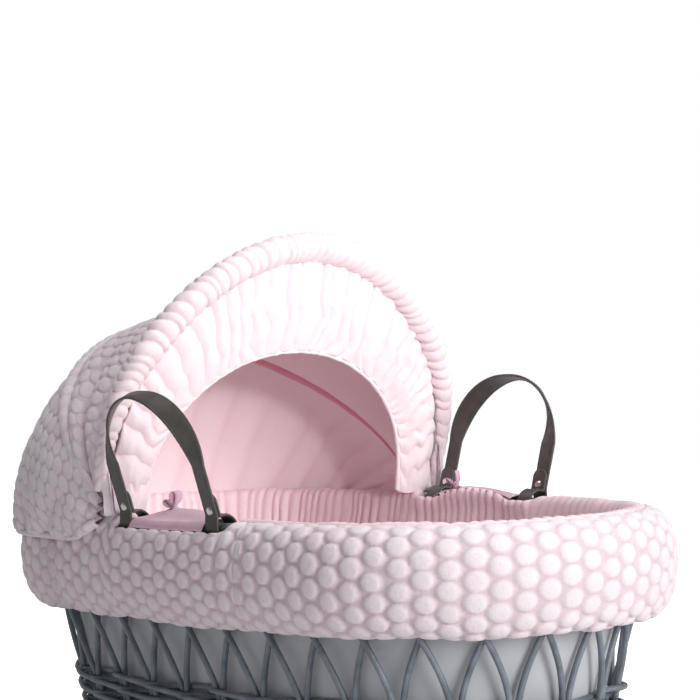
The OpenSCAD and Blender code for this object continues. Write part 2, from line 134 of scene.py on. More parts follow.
def smooth_path(points: Sequence[Sequence[float]], count: int) -> Array:
    """Runs a rounded curve through points and spaces it evenly.

    Args:
        points: the knots, each of 2 or 3 numbers.
        count: how many points to return.

    Returns:
        An array of count points, from the first knot to the last.
    """
    p = np.array(points, float)
    p = np.vstack([2 * p[0] - p[1], p, 2 * p[-1] - p[-2]])
    out = []
    for i in range(1, len(p) - 2):
        t = np.linspace(0, 1, 16, endpoint=False)[:, None]
        a, b, c, d = p[i - 1 : i + 3]
        out.append(
            0.5 * (2 * b + (c - a) * t + (2 * a - 5 * b + 4 * c - d) * t**2 + (3 * b - a - 3 * c + d) * t**3)
        )
    dense = np.vstack(out + [p[-2][None]])
    run = np.concatenate([[0], np.cumsum(np.linalg.norm(np.diff(dense, axis=0), axis=1))])
    want = np.linspace(0, run[-1], count)
    return np.stack([np.interp(want, run, dense[:, k]) for k in range(dense.shape[1])], axis=1)


def unit(v: Array) -> Array:
    """Scales vectors to length 1."""
    return v / np.maximum(np.linalg.norm(v, axis=-1, keepdims=True), 1e-12)


def grid_normals(p: Array, wrap_u: bool, wrap_v: bool) -> Array:
    """Unit normals of a grid of points.

    Args:
        p: points, as (u, v, 3).
        wrap_u: whether the first and last rows are neighbours.
        wrap_v: whether the first and last columns are neighbours.

    Returns:
        The normals, as (u, v, 3).
    """
    du = np.roll(p, -1, 0) - np.roll(p, 1, 0) if wrap_u else np.gradient(p, axis=0)
    dv = np.roll(p, -1, 1) - np.roll(p, 1, 1) if wrap_v else np.gradient(p, axis=1)
    return unit(np.cross(du, dv))


def cusps(x: Array, valleys: Array, power: float = 0.7) -> Array:
    """Soft ridges with sharp valleys between them, as gathers have.

    Args:
        x: where to read them.
        valleys: the places of the valleys, rising.
        power: below 1 makes the valleys sharper.

    Returns:
        Heights from 0 in a valley to 1 on a ridge.
    """
    i = np.clip(np.searchsorted(valleys, x) - 1, 0, len(valleys) - 2)
    f = (x - valleys[i]) / (valleys[i + 1] - valleys[i])
    return np.power(np.clip(np.sin(np.pi * np.clip(f, 0, 1)), 0, 1), power)


def valley_places(length: float, low: float, high: float, seed: int, closed: bool = False) -> Array:
    """Uneven places along a length, from low to high apart.

    Args:
        length: how far they run.
        low: the least distance between two.
        high: the most.
        seed: which run of places it is.
        closed: whether the last place is exactly at length.

    Returns:
        The places, starting before 0 and ending past length.
    """
    rng = np.random.default_rng(seed)
    steps = rng.uniform(low, high, int(length / low) + 4)
    places = np.concatenate([[0.0], np.cumsum(steps)])
    if closed:
        n = int(np.searchsorted(places, length))
        return places[: n + 1] * (length / places[n])
    return places - low


@dataclass(frozen=True)
class Bubbles:
    """The raised honeycomb of the fleece: staggered columns of soft cells."""

    across: float = 19.5 * MM
    along: float = 20.5 * MM
    height: float = 3.3 * MM
    disc: float = 9.9 * MM
    jitter: float = 0.07

    def relief(self, u: Array, v: Array, columns: int = 0, salt: float = 0.0) -> tuple[Array, Array]:
        """Height of the cells, and a painted shade mask that grows towards the valleys between them.

        Args:
            u: distance across the columns.
            v: distance along the columns.
            columns: how many columns close a ring, or 0 for an open cloth.
            salt: which cloth it is.

        Returns:
            The height in metres, and the painted shade mask, which is 1 in the valleys.
        """
        cu, cv = u / self.across, v / self.along
        best = np.full(np.shape(cu), 9.0)
        second = best.copy()
        for step_u in (-1, 0, 1):
            k = np.floor(cu) + step_u
            kk = np.mod(k, columns) if columns else k
            shift = 0.5 * np.mod(kk, 2)
            for step_v in (-1, 0, 1):
                j = np.floor(cv - shift) + step_v
                mid_u = k + 0.5 + self.jitter * (hashed(kk, j, salt) - 0.5) * 2
                mid_v = j + 0.5 + shift + self.jitter * (hashed(kk, j, salt + 3) - 0.5) * 2
                wide = 1 + 0.10 * (hashed(kk, j, salt + 5) - 0.5)
                d = np.hypot((cu - mid_u) * self.across * 1.04, (cv - mid_v) * self.along) * wide
                nearer = d < best
                second = np.where(nearer, best, np.minimum(second, d))
                best = np.where(nearer, d, best)
        r = np.clip(best / self.disc, 0, 1)
        pad = np.sqrt(np.clip(1 - r**4, 0, 1)) * (1 - 0.12 * r * r)
        apart = smoothstep((second - best) / 2.4e-3)
        puff = pad * (0.45 + 0.55 * apart)
        # the second value is painted shade for the valleys between the cells
        return self.height * puff, smoothstep((r - 0.80) / 0.2) * 0.75 + 0.25 * (1 - apart)


FLEECE_BUBBLES = Bubbles()


# ------------------------------------------------------------------ meshes


def new_object(name: str, verts: Array, faces: list, **point_values: Array) -> bpy.types.Object:
    """Makes a smooth-shaded mesh object.

    Args:
        name: the piece's name.
        verts: points, as (n, 3).
        faces: tuples of point numbers.
        point_values: named values per point that the finish reads.

    Returns:
        The object, linked into the scene, with its faces turned outwards.
    """
    mesh = bpy.data.meshes.new(name)
    mesh.from_pydata(np.asarray(verts, float).reshape(-1, 3).tolist(), [], faces)
    for key, values in point_values.items():
        layer = mesh.attributes.new(key, "FLOAT", "POINT")
        layer.data.foreach_set("value", np.asarray(values, np.float32).ravel())
    bm = bmesh.new()
    bm.from_mesh(mesh)
    bmesh.ops.recalc_face_normals(bm, faces=bm.faces)
    bm.to_mesh(mesh)
    bm.free()
    mesh.polygons.foreach_set("use_smooth", [True] * len(mesh.polygons))
    mesh.update()
    obj = bpy.data.objects.new(name, mesh)
    bpy.context.scene.collection.objects.link(obj)
    return obj


def grid_faces(m: int, n: int, wrap_u: bool, wrap_v: bool, start: int = 0) -> list:
    """Quads of an m by n grid whose points are numbered row by row from start."""
    i = np.arange(m if wrap_u else m - 1)
    j = np.arange(n if wrap_v else n - 1)
    ii, jj = np.meshgrid(i, j, indexing="ij")
    i2, j2 = (ii + 1) % m, (jj + 1) % n
    quads = np.stack([ii * n + jj, i2 * n + jj, i2 * n + j2, ii * n + j2], axis=-1)
    return (quads.reshape(-1, 4) + start).tolist()


def ring_piece(name: str, points: Array, **values: Array) -> bpy.types.Object:
    """A closed ring: both directions of the grid come round to their start."""
    m, n, _ = points.shape
    return new_object(name, points, grid_faces(m, n, True, True), **values)


def shell_piece(name: str, outer: Array, thickness: float, **values: Array) -> bpy.types.Object:
    """A thin closed cloth: a grid of points and a copy of it set back by its thickness.

    Args:
        name: the piece's name.
        outer: points of the cloth's face, as (u, v, 3).
        thickness: how thick the cloth is; below 0 turns it to the other side.
        values: named values for each point of the face.

    Returns:
        The cloth.
    """
    m, n, _ = outer.shape
    inner = outer - grid_normals(outer, False, False) * thickness
    count = m * n
    faces = grid_faces(m, n, False, False) + [f[::-1] for f in grid_faces(m, n, False, False, count)]
    edge = [i * n for i in range(m)] + [(m - 1) * n + j for j in range(1, n)]
    edge += [i * n + n - 1 for i in range(m - 2, -1, -1)] + [j for j in range(n - 2, 0, -1)]
    for a, b in zip(edge, edge[1:] + edge[:1]):
        faces.append((a, b, b + count, a + count))
    both = {key: np.concatenate([np.ravel(v), np.ravel(v)]) for key, v in values.items()}
    return new_object(name, np.concatenate([outer.reshape(-1, 3), inner.reshape(-1, 3)]), faces, **both)


def path_frames(path: Array, up: Sequence[float], closed: bool = False) -> tuple[Array, Array]:
    """Two directions square to a path at each of its points.

    Args:
        path: points, as (n, 3).
        up: a direction that the path never follows.
        closed: whether the path comes round to its start.

    Returns:
        The sideways and the upward directions.
    """
    t = np.roll(path, -1, 0) - np.roll(path, 1, 0) if closed else np.gradient(path, axis=0)
    t = unit(t)
    side = unit(np.cross(t, np.broadcast_to(np.asarray(up, float), t.shape)))
    return side, np.cross(side, t)


@dataclass
class TubeBatch:
    """Many tubes gathered into one mesh."""

    sides: int = 8
    verts: list = field(default_factory=list)
    faces: list = field(default_factory=list)
    count: int = 0

    def add(self, path: Array, radius: Array | float, up: Sequence[float], closed: bool = False) -> None:
        """Adds a tube of round section along a path."""
        m = len(path)
        a, b = path_frames(path, up, closed)
        r = np.broadcast_to(np.asarray(radius, float), (m,))[:, None, None]
        turn = np.arange(self.sides) * 2 * math.pi / self.sides
        ring = np.cos(turn)[None, :, None] * a[:, None] + np.sin(turn)[None, :, None] * b[:, None]
        self.verts.append((path[:, None] + r * ring).reshape(-1, 3))
        self.faces += grid_faces(m, self.sides, closed, True, self.count)
        if not closed:
            last = self.count + (m - 1) * self.sides
            self.faces.append(tuple(range(self.count, self.count + self.sides)))
            self.faces.append(tuple(range(last + self.sides - 1, last - 1, -1)))
        self.count += m * self.sides

    def piece(self, name: str) -> bpy.types.Object:
        """The gathered tubes as one object."""
        return new_object(name, np.concatenate(self.verts), self.faces)


# ------------------------------------------------------------------ finishes


class GroupMaker:
    """Builds the shader node groups that several finishes share."""

    def __init__(self) -> None:
        """Starts with no groups."""
        self.made: dict[str, bpy.types.NodeTree] = {}

    def tree(self, name: str, inputs: dict[str, float], outputs: dict[str, str]) -> bpy.types.NodeTree:
        """Makes an empty group.

        Args:
            name: the group's name.
            inputs: number inputs and their defaults.
            outputs: outputs and their socket types.

        Returns:
            The group, with its input and output nodes in place.
        """
        tree = bpy.data.node_groups.new(name, "ShaderNodeTree")
        for key, value in inputs.items():
            socket = tree.interface.new_socket(name=key, in_out="INPUT", socket_type="NodeSocketFloat")
            socket.default_value = value
        for key, kind in outputs.items():
            tree.interface.new_socket(name=key, in_out="OUTPUT", socket_type=kind)
        tree.nodes.new("NodeGroupInput").name = "in"
        tree.nodes.new("NodeGroupOutput").name = "out"
        self.made[name] = tree
        return tree

    def pile(self) -> bpy.types.NodeTree:
        """Short brushed pile: fine clumps of fibre over slow blotches."""
        t = self.tree("ShortPile", {"Fibre": 1500.0, "Blotch": 38.0}, {"Height": "NodeSocketFloat",
                "Tone": "NodeSocketFloat"})
        coord = t.nodes.new("ShaderNodeTexCoord")
        fine, clump, slow = (t.nodes.new("ShaderNodeTexNoise") for _ in range(3))
        fine.inputs["Detail"].default_value = 3
        clump.inputs["Scale"].default_value = 330
        clump.inputs["Detail"].default_value = 2
        slow.inputs["Detail"].default_value = 4
        t.links.new(t.nodes["in"].outputs["Fibre"], fine.inputs["Scale"])
        t.links.new(t.nodes["in"].outputs["Blotch"], slow.inputs["Scale"])
        add = t.nodes.new("ShaderNodeMath")
        add.operation = "MULTIPLY_ADD"
        add.inputs[1].default_value = 0.55
        for node in (fine, clump, slow):
            t.links.new(coord.outputs["Object"], node.inputs["Vector"])
        t.links.new(fine.outputs["Fac"], add.inputs[0])
        t.links.new(clump.outputs["Fac"], add.inputs[2])
        t.links.new(add.outputs[0], t.nodes["out"].inputs["Height"])
        mix = t.nodes.new("ShaderNodeMath")
        mix.operation = "MULTIPLY_ADD"
        mix.inputs[1].default_value = 0.5
        half = t.nodes.new("ShaderNodeMath")
        half.operation = "MULTIPLY"
        half.inputs[1].default_value = 0.5
        t.links.new(clump.outputs["Fac"], half.inputs[0])
        t.links.new(slow.outputs["Fac"], mix.inputs[0])
        t.links.new(half.outputs[0], mix.inputs[2])
        t.links.new(mix.outputs[0], t.nodes["out"].inputs["Tone"])
        return t

    def weave(self) -> bpy.types.NodeTree:
        """Plain woven cloth: two crossing sets of threads, a little uneven."""
        t = self.tree("PlainWeave", {"Threads": 900.0, "Blotch": 30.0}, {"Height": "NodeSocketFloat",
                "Tone": "NodeSocketFloat"})
        coord = t.nodes.new("ShaderNodeTexCoord")
        waves = []
        for direction in ("X", "Z"):
            wave = t.nodes.new("ShaderNodeTexWave")
            wave.bands_direction = direction
            wave.inputs["Distortion"].default_value = 1.2
            wave.inputs["Detail"].default_value = 1
            t.links.new(coord.outputs["Object"], wave.inputs["Vector"])
            t.links.new(t.nodes["in"].outputs["Threads"], wave.inputs["Scale"])
            waves.append(wave)
        top = t.nodes.new("ShaderNodeMath")
        top.operation = "MAXIMUM"
        t.links.new(waves[0].outputs["Fac"], top.inputs[0])
        t.links.new(waves[1].outputs["Fac"], top.inputs[1])
        t.links.new(top.outputs[0], t.nodes["out"].inputs["Height"])
        slow = t.nodes.new("ShaderNodeTexNoise")
        slow.inputs["Detail"].default_value = 4
        t.links.new(coord.outputs["Object"], slow.inputs["Vector"])
        t.links.new(t.nodes["in"].outputs["Blotch"], slow.inputs["Scale"])
        t.links.new(slow.outputs["Fac"], t.nodes["out"].inputs["Tone"])
        return t

    def grain(self) -> bpy.types.NodeTree:
        """Cells and pores, as embossed leatherette, coated cane or board have."""
        t = self.tree("FineGrain", {"Cells": 900.0, "Streak": 60.0}, {"Height": "NodeSocketFloat",
                "Tone": "NodeSocketFloat"})
        coord = t.nodes.new("ShaderNodeTexCoord")
        cells = t.nodes.new("ShaderNodeTexVoronoi")
        streak = t.nodes.new("ShaderNodeTexNoise")
        streak.inputs["Detail"].default_value = 5
        for node in (cells, streak):
            t.links.new(coord.outputs["Object"], node.inputs["Vector"])
        t.links.new(t.nodes["in"].outputs["Cells"], cells.inputs["Scale"])
        t.links.new(t.nodes["in"].outputs["Streak"], streak.inputs["Scale"])
        t.links.new(cells.outputs["Distance"], t.nodes["out"].inputs["Height"])
        t.links.new(streak.outputs["Fac"], t.nodes["out"].inputs["Tone"])
        return t


GROUPS = GroupMaker()
GROUPS.pile()
GROUPS.weave()
GROUPS.grain()


class Texture(Enum):
    """Which shared effect a finish is textured with, and its two scale inputs."""

    PILE = "ShortPile"
    WEAVE = "PlainWeave"
    GRAIN = "FineGrain"


@dataclass(frozen=True)
class Finish:
    """One surface finish: two tones of colour, a texture, how it shines and a painted shade colour for hollows."""

    name: str
    slot: str
    light: tuple[float, float, float]
    dark: tuple[float, float, float]
    texture: Texture
    scale_a: float
    scale_b: float
    bump: float
    bump_depth: float
    roughness: float = 0.9
    metallic: float = 0.0
    sheen: float = 0.0
    sheen_tint: tuple[float, float, float] = (1.0, 0.93, 0.95)
    # painted shade: a colour mixed in where the point mask marks creases, folds and valleys
    painted_shade_colour: tuple[float, float, float] | None = None
    coat: float = 0.0
    glow: float = 0.0

    def material(self) -> bpy.types.Material:
        """Builds the finish, or returns it if it's already built."""
        known = bpy.data.materials.get(self.name)
        if known:
            return known
        mat = bpy.data.materials.new(self.name)
        mat.use_nodes = True
        nodes, links = mat.node_tree.nodes, mat.node_tree.links
        shader = nodes["Principled BSDF"]
        shader.inputs["Metallic"].default_value = self.metallic
        shader.inputs["Sheen Weight"].default_value = self.sheen
        shader.inputs["Sheen Roughness"].default_value = 0.5
        shader.inputs["Sheen Tint"].default_value = (*self.sheen_tint, 1)
        shader.inputs["Coat Weight"].default_value = self.coat
        shader.inputs["Coat Roughness"].default_value = 0.25
        if self.glow:
            shader.inputs["Subsurface Weight"].default_value = self.glow
            shader.inputs["Subsurface Radius"].default_value = (0.006, 0.0035, 0.0035)
            shader.inputs["Subsurface Scale"].default_value = 1.0
        effect = nodes.new("ShaderNodeGroup")
        effect.node_tree = bpy.data.node_groups[self.texture.value]
        effect.inputs[0].default_value = self.scale_a
        effect.inputs[1].default_value = self.scale_b
        ramp = nodes.new("ShaderNodeValToRGB")
        ramp.color_ramp.elements[0].position = 0.33
        ramp.color_ramp.elements[1].position = 0.67
        ramp.color_ramp.elements[0].color = (*self.dark, 1)
        ramp.color_ramp.elements[1].color = (*self.light, 1)
        links.new(effect.outputs["Tone"], ramp.inputs["Fac"])
        colour = ramp.outputs["Color"]
        # painted shade: the point mask mixes the shade colour into creases, folds and valleys
        if self.painted_shade_colour:
            hollow = nodes.new("ShaderNodeAttribute")
            hollow.attribute_name = "hollow"
            mix = nodes.new("ShaderNodeMix")
            mix.data_type = "RGBA"
            links.new(hollow.outputs["Fac"], mix.inputs["Factor"])
            links.new(colour, mix.inputs["A"])
            mix.inputs["B"].default_value = (*self.painted_shade_colour, 1)
            colour = mix.outputs["Result"]
        links.new(colour, shader.inputs["Base Color"])
        rough = nodes.new("ShaderNodeMapRange")
        rough.inputs["To Min"].default_value = max(0.05, self.roughness - 0.07)
        rough.inputs["To Max"].default_value = min(1.0, self.roughness + 0.07)
        links.new(effect.outputs["Tone"], rough.inputs["Value"])
        links.new(rough.outputs["Result"], shader.inputs["Roughness"])
        bump = nodes.new("ShaderNodeBump")
        bump.inputs["Strength"].default_value = self.bump
        bump.inputs["Distance"].default_value = self.bump_depth
        links.new(effect.outputs["Height"], bump.inputs["Height"])
        links.new(bump.outputs["Normal"], shader.inputs["Normal"])
        return mat

    def dress(self, obj: bpy.types.Object) -> bpy.types.Object:
        """Gives a new piece this finish."""
        obj.data.materials.clear()
        obj.data.materials.append(self.material())
        return obj or obj

    def repaint(self, node: str) -> None:
        """Gives a frame node that stays in view this finish."""
        obj = frame["nodes"][node]
        for socket in obj.material_slots:
            socket.material = self.material()


# The last colour of FLEECE, VISOR_FLEECE, LINING and RUCHED is painted shade for creases, folds and valleys.
FLEECE = Finish("BubbleFleece", "fleece", (0.89, 0.80, 0.84), (0.845, 0.735, 0.78), Texture.PILE, 1500, 34, 0.5, 0.0013,
                roughness=0.95, sheen=0.3, painted_shade_colour=(0.72, 0.57, 0.62), glow=0.08)
VISOR_FLEECE = Finish("GatheredFleece", "fleece", (0.94, 0.81, 0.84), (0.91, 0.76, 0.795), Texture.PILE, 1500, 30,
        0.45, 0.0012,
                      roughness=0.95, sheen=0.3, painted_shade_colour=(0.86, 0.62, 0.67), glow=0.08)
LINING = Finish("BrushedLining", "lining", (0.94, 0.77, 0.80), (0.915, 0.73, 0.76), Texture.PILE, 2100, 22, 0.22,
        0.0005,
                roughness=0.9, sheen=0.2, painted_shade_colour=(0.86, 0.58, 0.63), glow=0.06)
RUCHED = Finish("RuchedWall", "lining", (0.93, 0.745, 0.79), (0.89, 0.68, 0.73), Texture.PILE, 1500, 34, 0.45, 0.0012,
                roughness=0.95, sheen=0.3, painted_shade_colour=(0.80, 0.50, 0.56), glow=0.06)
# The casing strip's strong pink is painted shade and painted light shining through the cloth, over a real casing.
SHADED_CASING = Finish("CasingStrip", "lining", (0.86, 0.36, 0.45), (0.80, 0.31, 0.40), Texture.WEAVE, 900, 60, 0.3, 0.0004,
                roughness=0.8, sheen=0.2)
COTTON = Finish("BackingCotton", "cotton", (0.57, 0.58, 0.61), (0.50, 0.51, 0.54), Texture.WEAVE, 700, 16, 0.3, 0.0004,
                roughness=0.9, sheen=0.1)
SHEETING = Finish("MattressCotton", "cotton", (0.82, 0.80, 0.80), (0.76, 0.74, 0.74), Texture.WEAVE, 700, 20, 0.3,
        0.0004,
                  roughness=0.9, sheen=0.1)
RIBBON = Finish("TrimCotton", "trim_cloth", (0.70, 0.47, 0.56), (0.62, 0.39, 0.49), Texture.WEAVE, 1100, 45, 0.3,
        0.0004,
                roughness=0.75, sheen=0.25)
LEATHER = Finish("StrapLeatherette", "leatherette", (0.085, 0.076, 0.068), (0.058, 0.051, 0.046), Texture.GRAIN, 1500,
        70, 0.22, 0.0004,
                 roughness=0.42, coat=0.12)
THREAD = Finish("StrapThread", "leatherette", (0.13, 0.115, 0.10), (0.09, 0.08, 0.07), Texture.GRAIN, 2500, 300, 0.4,
        0.0003,
                roughness=0.7)
NICKEL = Finish("PlatedNickel", "nickel", (0.78, 0.76, 0.73), (0.66, 0.64, 0.61), Texture.GRAIN, 2600, 90, 0.06, 0.0002,
                roughness=0.22, metallic=1.0)
STEEL = Finish("HoopSteel", "hoop_steel", (0.62, 0.62, 0.62), (0.5, 0.5, 0.5), Texture.GRAIN, 1800, 80, 0.1, 0.0002,
               roughness=0.35, metallic=1.0)
CLIP = Finish("MouldedClip", "clip_plastic", (0.72, 0.70, 0.70), (0.66, 0.64, 0.64), Texture.GRAIN, 1600, 40, 0.12,
        0.0002,
              roughness=0.5)
WILLOW = Finish("PaintedWillow", "willow", (0.215, 0.250, 0.285), (0.120, 0.142, 0.165), Texture.GRAIN, 700, 55, 0.35,
        0.0007,
                roughness=0.36, coat=0.15)
BOARD = Finish("BirchBoard", "board", (0.60, 0.43, 0.27), (0.47, 0.32, 0.19), Texture.GRAIN, 500, 12, 0.25, 0.0006,
               roughness=0.6)


# ------------------------------------------------------------------ the basket's plan


@dataclass(frozen=True)
class Plan:
    """The basket's oval, made of four arcs, and the flare of its wall."""

    half_length: float
    half_width: float
    rim_z: float
    end_radius: float = 0.175
    slope: float = 0.205
    stations: int = 30

    @property
    def end_c(self) -> float:
        """How far each end arc's centre lies from the middle."""
        return self.half_length - self.end_radius

    @property
    def side_r(self) -> float:
        """Radius of the long sides."""
        a, b, r = self.end_c, self.half_width, self.end_radius
        return (a * a + b * b - r * r) / (2 * (b - r))

    @property
    def join(self) -> float:
        """Angle at which an end arc meets a side arc."""
        return math.atan2(self.side_r - self.half_width, self.end_c)

    @property
    def length(self) -> float:
        """Length round the rim."""
        return 2 * (self.end_radius * 2 * self.join + self.side_r * (math.pi - 2 * self.join))

    def locate(self, s: Array) -> tuple[Array, Array]:
        """Points on the rim and the outward directions there.

        Args:
            s: shares of the way round, anticlockwise from the foot end's middle.

        Returns:
            The points and directions, each as (..., 2).
        """
        end = self.end_radius * 2 * self.join
        side = self.side_r * (math.pi - 2 * self.join)
        run = np.mod(np.asarray(s, float), 1.0) * self.length
        cuts = [end / 2, end / 2 + side, 1.5 * end + side, 1.5 * end + 2 * side]
        which = np.searchsorted(cuts, run, side="right")
        sc = self.side_r - self.half_width
        centres = np.array([[self.end_c, 0], [0, -sc], [-self.end_c, 0], [0, sc], [self.end_c, 0]])
        radii = np.array([self.end_radius, self.side_r, self.end_radius, self.side_r, self.end_radius])
        starts = np.array([0, cuts[0], cuts[1], cuts[2], self.length])
        turns = np.array([0, self.join, math.pi - self.join, math.pi + self.join, 2 * math.pi])
        r = radii[which]
        turn = turns[which] + (run - starts[which]) / r
        out = np.stack([np.cos(turn), np.sin(turn)], axis=-1)
        return centres[which] + r[..., None] * out, out

    def lean(self, z: Array) -> Array:
        """How far in from the rim the wall's middle is at height z."""
        return -(self.rim_z - np.asarray(z, float)) * self.slope

    def place(self, s: Array, d: Array, z: Array) -> Array:
        """Points at share s round, d out from the rim and height z."""
        s, d, z = np.broadcast_arrays(np.asarray(s, float), d, z)
        p, out = self.locate(s)
        p = p + out * d[..., None]
        return np.stack([p[..., 0], p[..., 1], z], axis=-1)

    def share_at(self, x: float, side: Side) -> float:
        """Share of the way round at which a long side is at x."""
        s = np.linspace(0.02, 0.48, 4000)
        if side is Side.NEAR:
            s = 1 - s
        return float(s[np.argmin(np.abs(self.locate(s)[0][:, 0] - x))])


def read_plan() -> Plan:
    """Reads the rim's size and height from the frame's border cane."""
    low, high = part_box("top_border")
    cane = (high[2] - low[2]) / 2
    return Plan(high[0] - cane, high[1] - cane, (high[2] + low[2]) / 2)


PLAN = read_plan()
SLOT_LOW_X = -0.073
SLOT_HIGH_X = 0.103


def slot_share(points: Array, ease: float = 0.012) -> Array:
    """How far each point round the rim lies inside a handle slot, 0 to 1."""
    x, y = points[..., 0], np.abs(points[..., 1])
    inside = smoothstep((x - SLOT_LOW_X + ease) / ease) * smoothstep((SLOT_HIGH_X + ease - x) / ease)
    return inside * (y > 0.14)


def ride(obj: bpy.types.Object, body: Body, *nodes: str) -> bpy.types.Object:
    """Sets a piece to ride on a body and to stand for frame nodes."""
    if nodes:
        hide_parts(*nodes)
    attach(obj, body.value)
    return obj


def report(obj: bpy.types.Object) -> None:
    """Writes one line about a finished piece."""
    LOG.info("%s: %d points", obj.name, len(obj.data.vertices))


# ------------------------------------------------------------------ willow


@dataclass
class WillowBody:
    """Stakes, woven rounds and border of the basket, all of painted willow."""

    plan: Plan
    cane: float = 3.0 * MM
    band_top: float = 0.086
    stand: float = 6.7 * MM
    weave_pitch: float = 5.2 * MM
    weave_rows: int = 14

    def stake(self, i: int, turn: int) -> Array:
        """Path of one stake.

        Args:
            i: its station.
            turn: 1 if it leans anticlockwise, -1 if clockwise.

        Returns:
            Points from its foot to its tip.
        """
        p = self.plan
        half = 3.7 * MM / p.length
        foot = i / p.stations + turn * half
        head = (i + turn) / p.stations - turn * half
        tip = p.rim_z - 8.2 * MM
        hx = float(p.locate(np.array(head))[0][0])
        if min(abs(hx + 0.0595), abs(hx - 0.0895)) < 0.02:
            tip = p.rim_z - 13.5 * MM
        f = np.linspace(0, 1, 22)
        z_low, z_high = self.band_top - 4 * MM, p.rim_z - 27 * MM
        rise = z_low + (z_high - z_low) * f
        ease = 0.16 * f + 0.84 * (1.12 * (f - 0.5) / (1 + 0.48 * (2 * f - 1) ** 2) + 0.5)
        ease = np.clip((ease - ease[0]) / (ease[-1] - ease[0]), 0, 1)
        wobble = 0.0011 * np.sin(np.pi * f) * (hashed(np.array(i), np.array(turn)) - 0.5)
        share = foot + (head - foot) * ease + wobble
        off = -turn * 3.3 * MM * np.sin(np.pi * f) ** 0.8
        mid = p.place(share, p.lean(rise) + off, rise)
        low = p.place(np.full(3, foot), p.lean(np.array([0.008, 0.03, 0.055])), np.array([0.008, 0.03, 0.055]))
        top = p.place(np.full(2, head), p.lean(np.array([z_high + 0.01, tip])), np.array([z_high + 0.01, tip]))
        return np.vstack([low, mid, top])

    def strand(self, z: float, phase: int) -> Array:
        """Path of one weaver, outside two stakes and inside the third."""
        p = self.plan
        s = np.linspace(0, 1, p.stations * 9, endpoint=False)
        turn = 2 * np.pi * ((s * p.stations + phase) / 3 + 1 / 6 - 1 / 3)
        g = np.cos(turn)
        off = self.stand * np.tanh(3 * g) / math.tanh(3)
        height = z - 1.9 * MM * np.sin(turn) + 0.5 * MM * wander(s * p.length, 0.05, z * 1000)
        return p.place(s, p.lean(height) + off, height)

    def build(self) -> list[bpy.types.Object]:
        """Builds every willow piece and sets each on the basket."""
        pieces = []
        for turn, node in ((-1, "stakes_front"), (1, "stakes_back")):
            batch = TubeBatch(sides=10)
            for i in range(self.plan.stations):
                path = self.stake(i, turn)
                radius = self.cane * (1.03 - 0.10 * np.linspace(0, 1, len(path)))
                batch.add(path, radius, (0.3, 0.2, 0.05))
            pieces.append(ride(WILLOW.dress(batch.piece("willow_" + node)), Body.BASKET, node))
        rounds = {"weave_round_1": range(0, 5), "weave_round_2": range(5, 10), "weave_round_3": range(10, 14)}
        for node, rows in rounds.items():
            batch = TubeBatch(sides=8)
            for row in rows:
                z = 0.0165 + row * self.weave_pitch
                radius = self.cane * (0.96 + 0.05 * wander(np.arange(270), 7, row + 0.3))
                batch.add(self.strand(z, row), radius, (0, 0, 1), closed=True)
            pieces.append(ride(WILLOW.dress(batch.piece("willow_" + node)), Body.BASKET, node))
        batch = TubeBatch(sides=8)
        for row in range(3):
            batch.add(self.strand(self.plan.rim_z - 25.5 * MM + row * 3.4 * MM, row), self.cane * 0.9, (0, 0, 1),
                    closed=True)
        pieces.append(ride(WILLOW.dress(batch.piece("willow_upper_wale")), Body.BASKET, "upper_wale"))
        batch = TubeBatch(sides=8)
        for k in range(5):
            s = np.linspace(0, 1, 400, endpoint=False)
            turn = 2 * np.pi * (18 * s + k / 5)
            z = self.plan.rim_z - 2.6 * MM + 3.5 * MM * np.sin(turn)
            batch.add(self.plan.place(s, 3.5 * MM * np.cos(turn), z), 2.9 * MM, (0, 0, 1), closed=True)
        pieces.append(ride(WILLOW.dress(batch.piece("willow_border")), Body.BASKET, "top_border"))
        return pieces


# ------------------------------------------------------------------ dressing


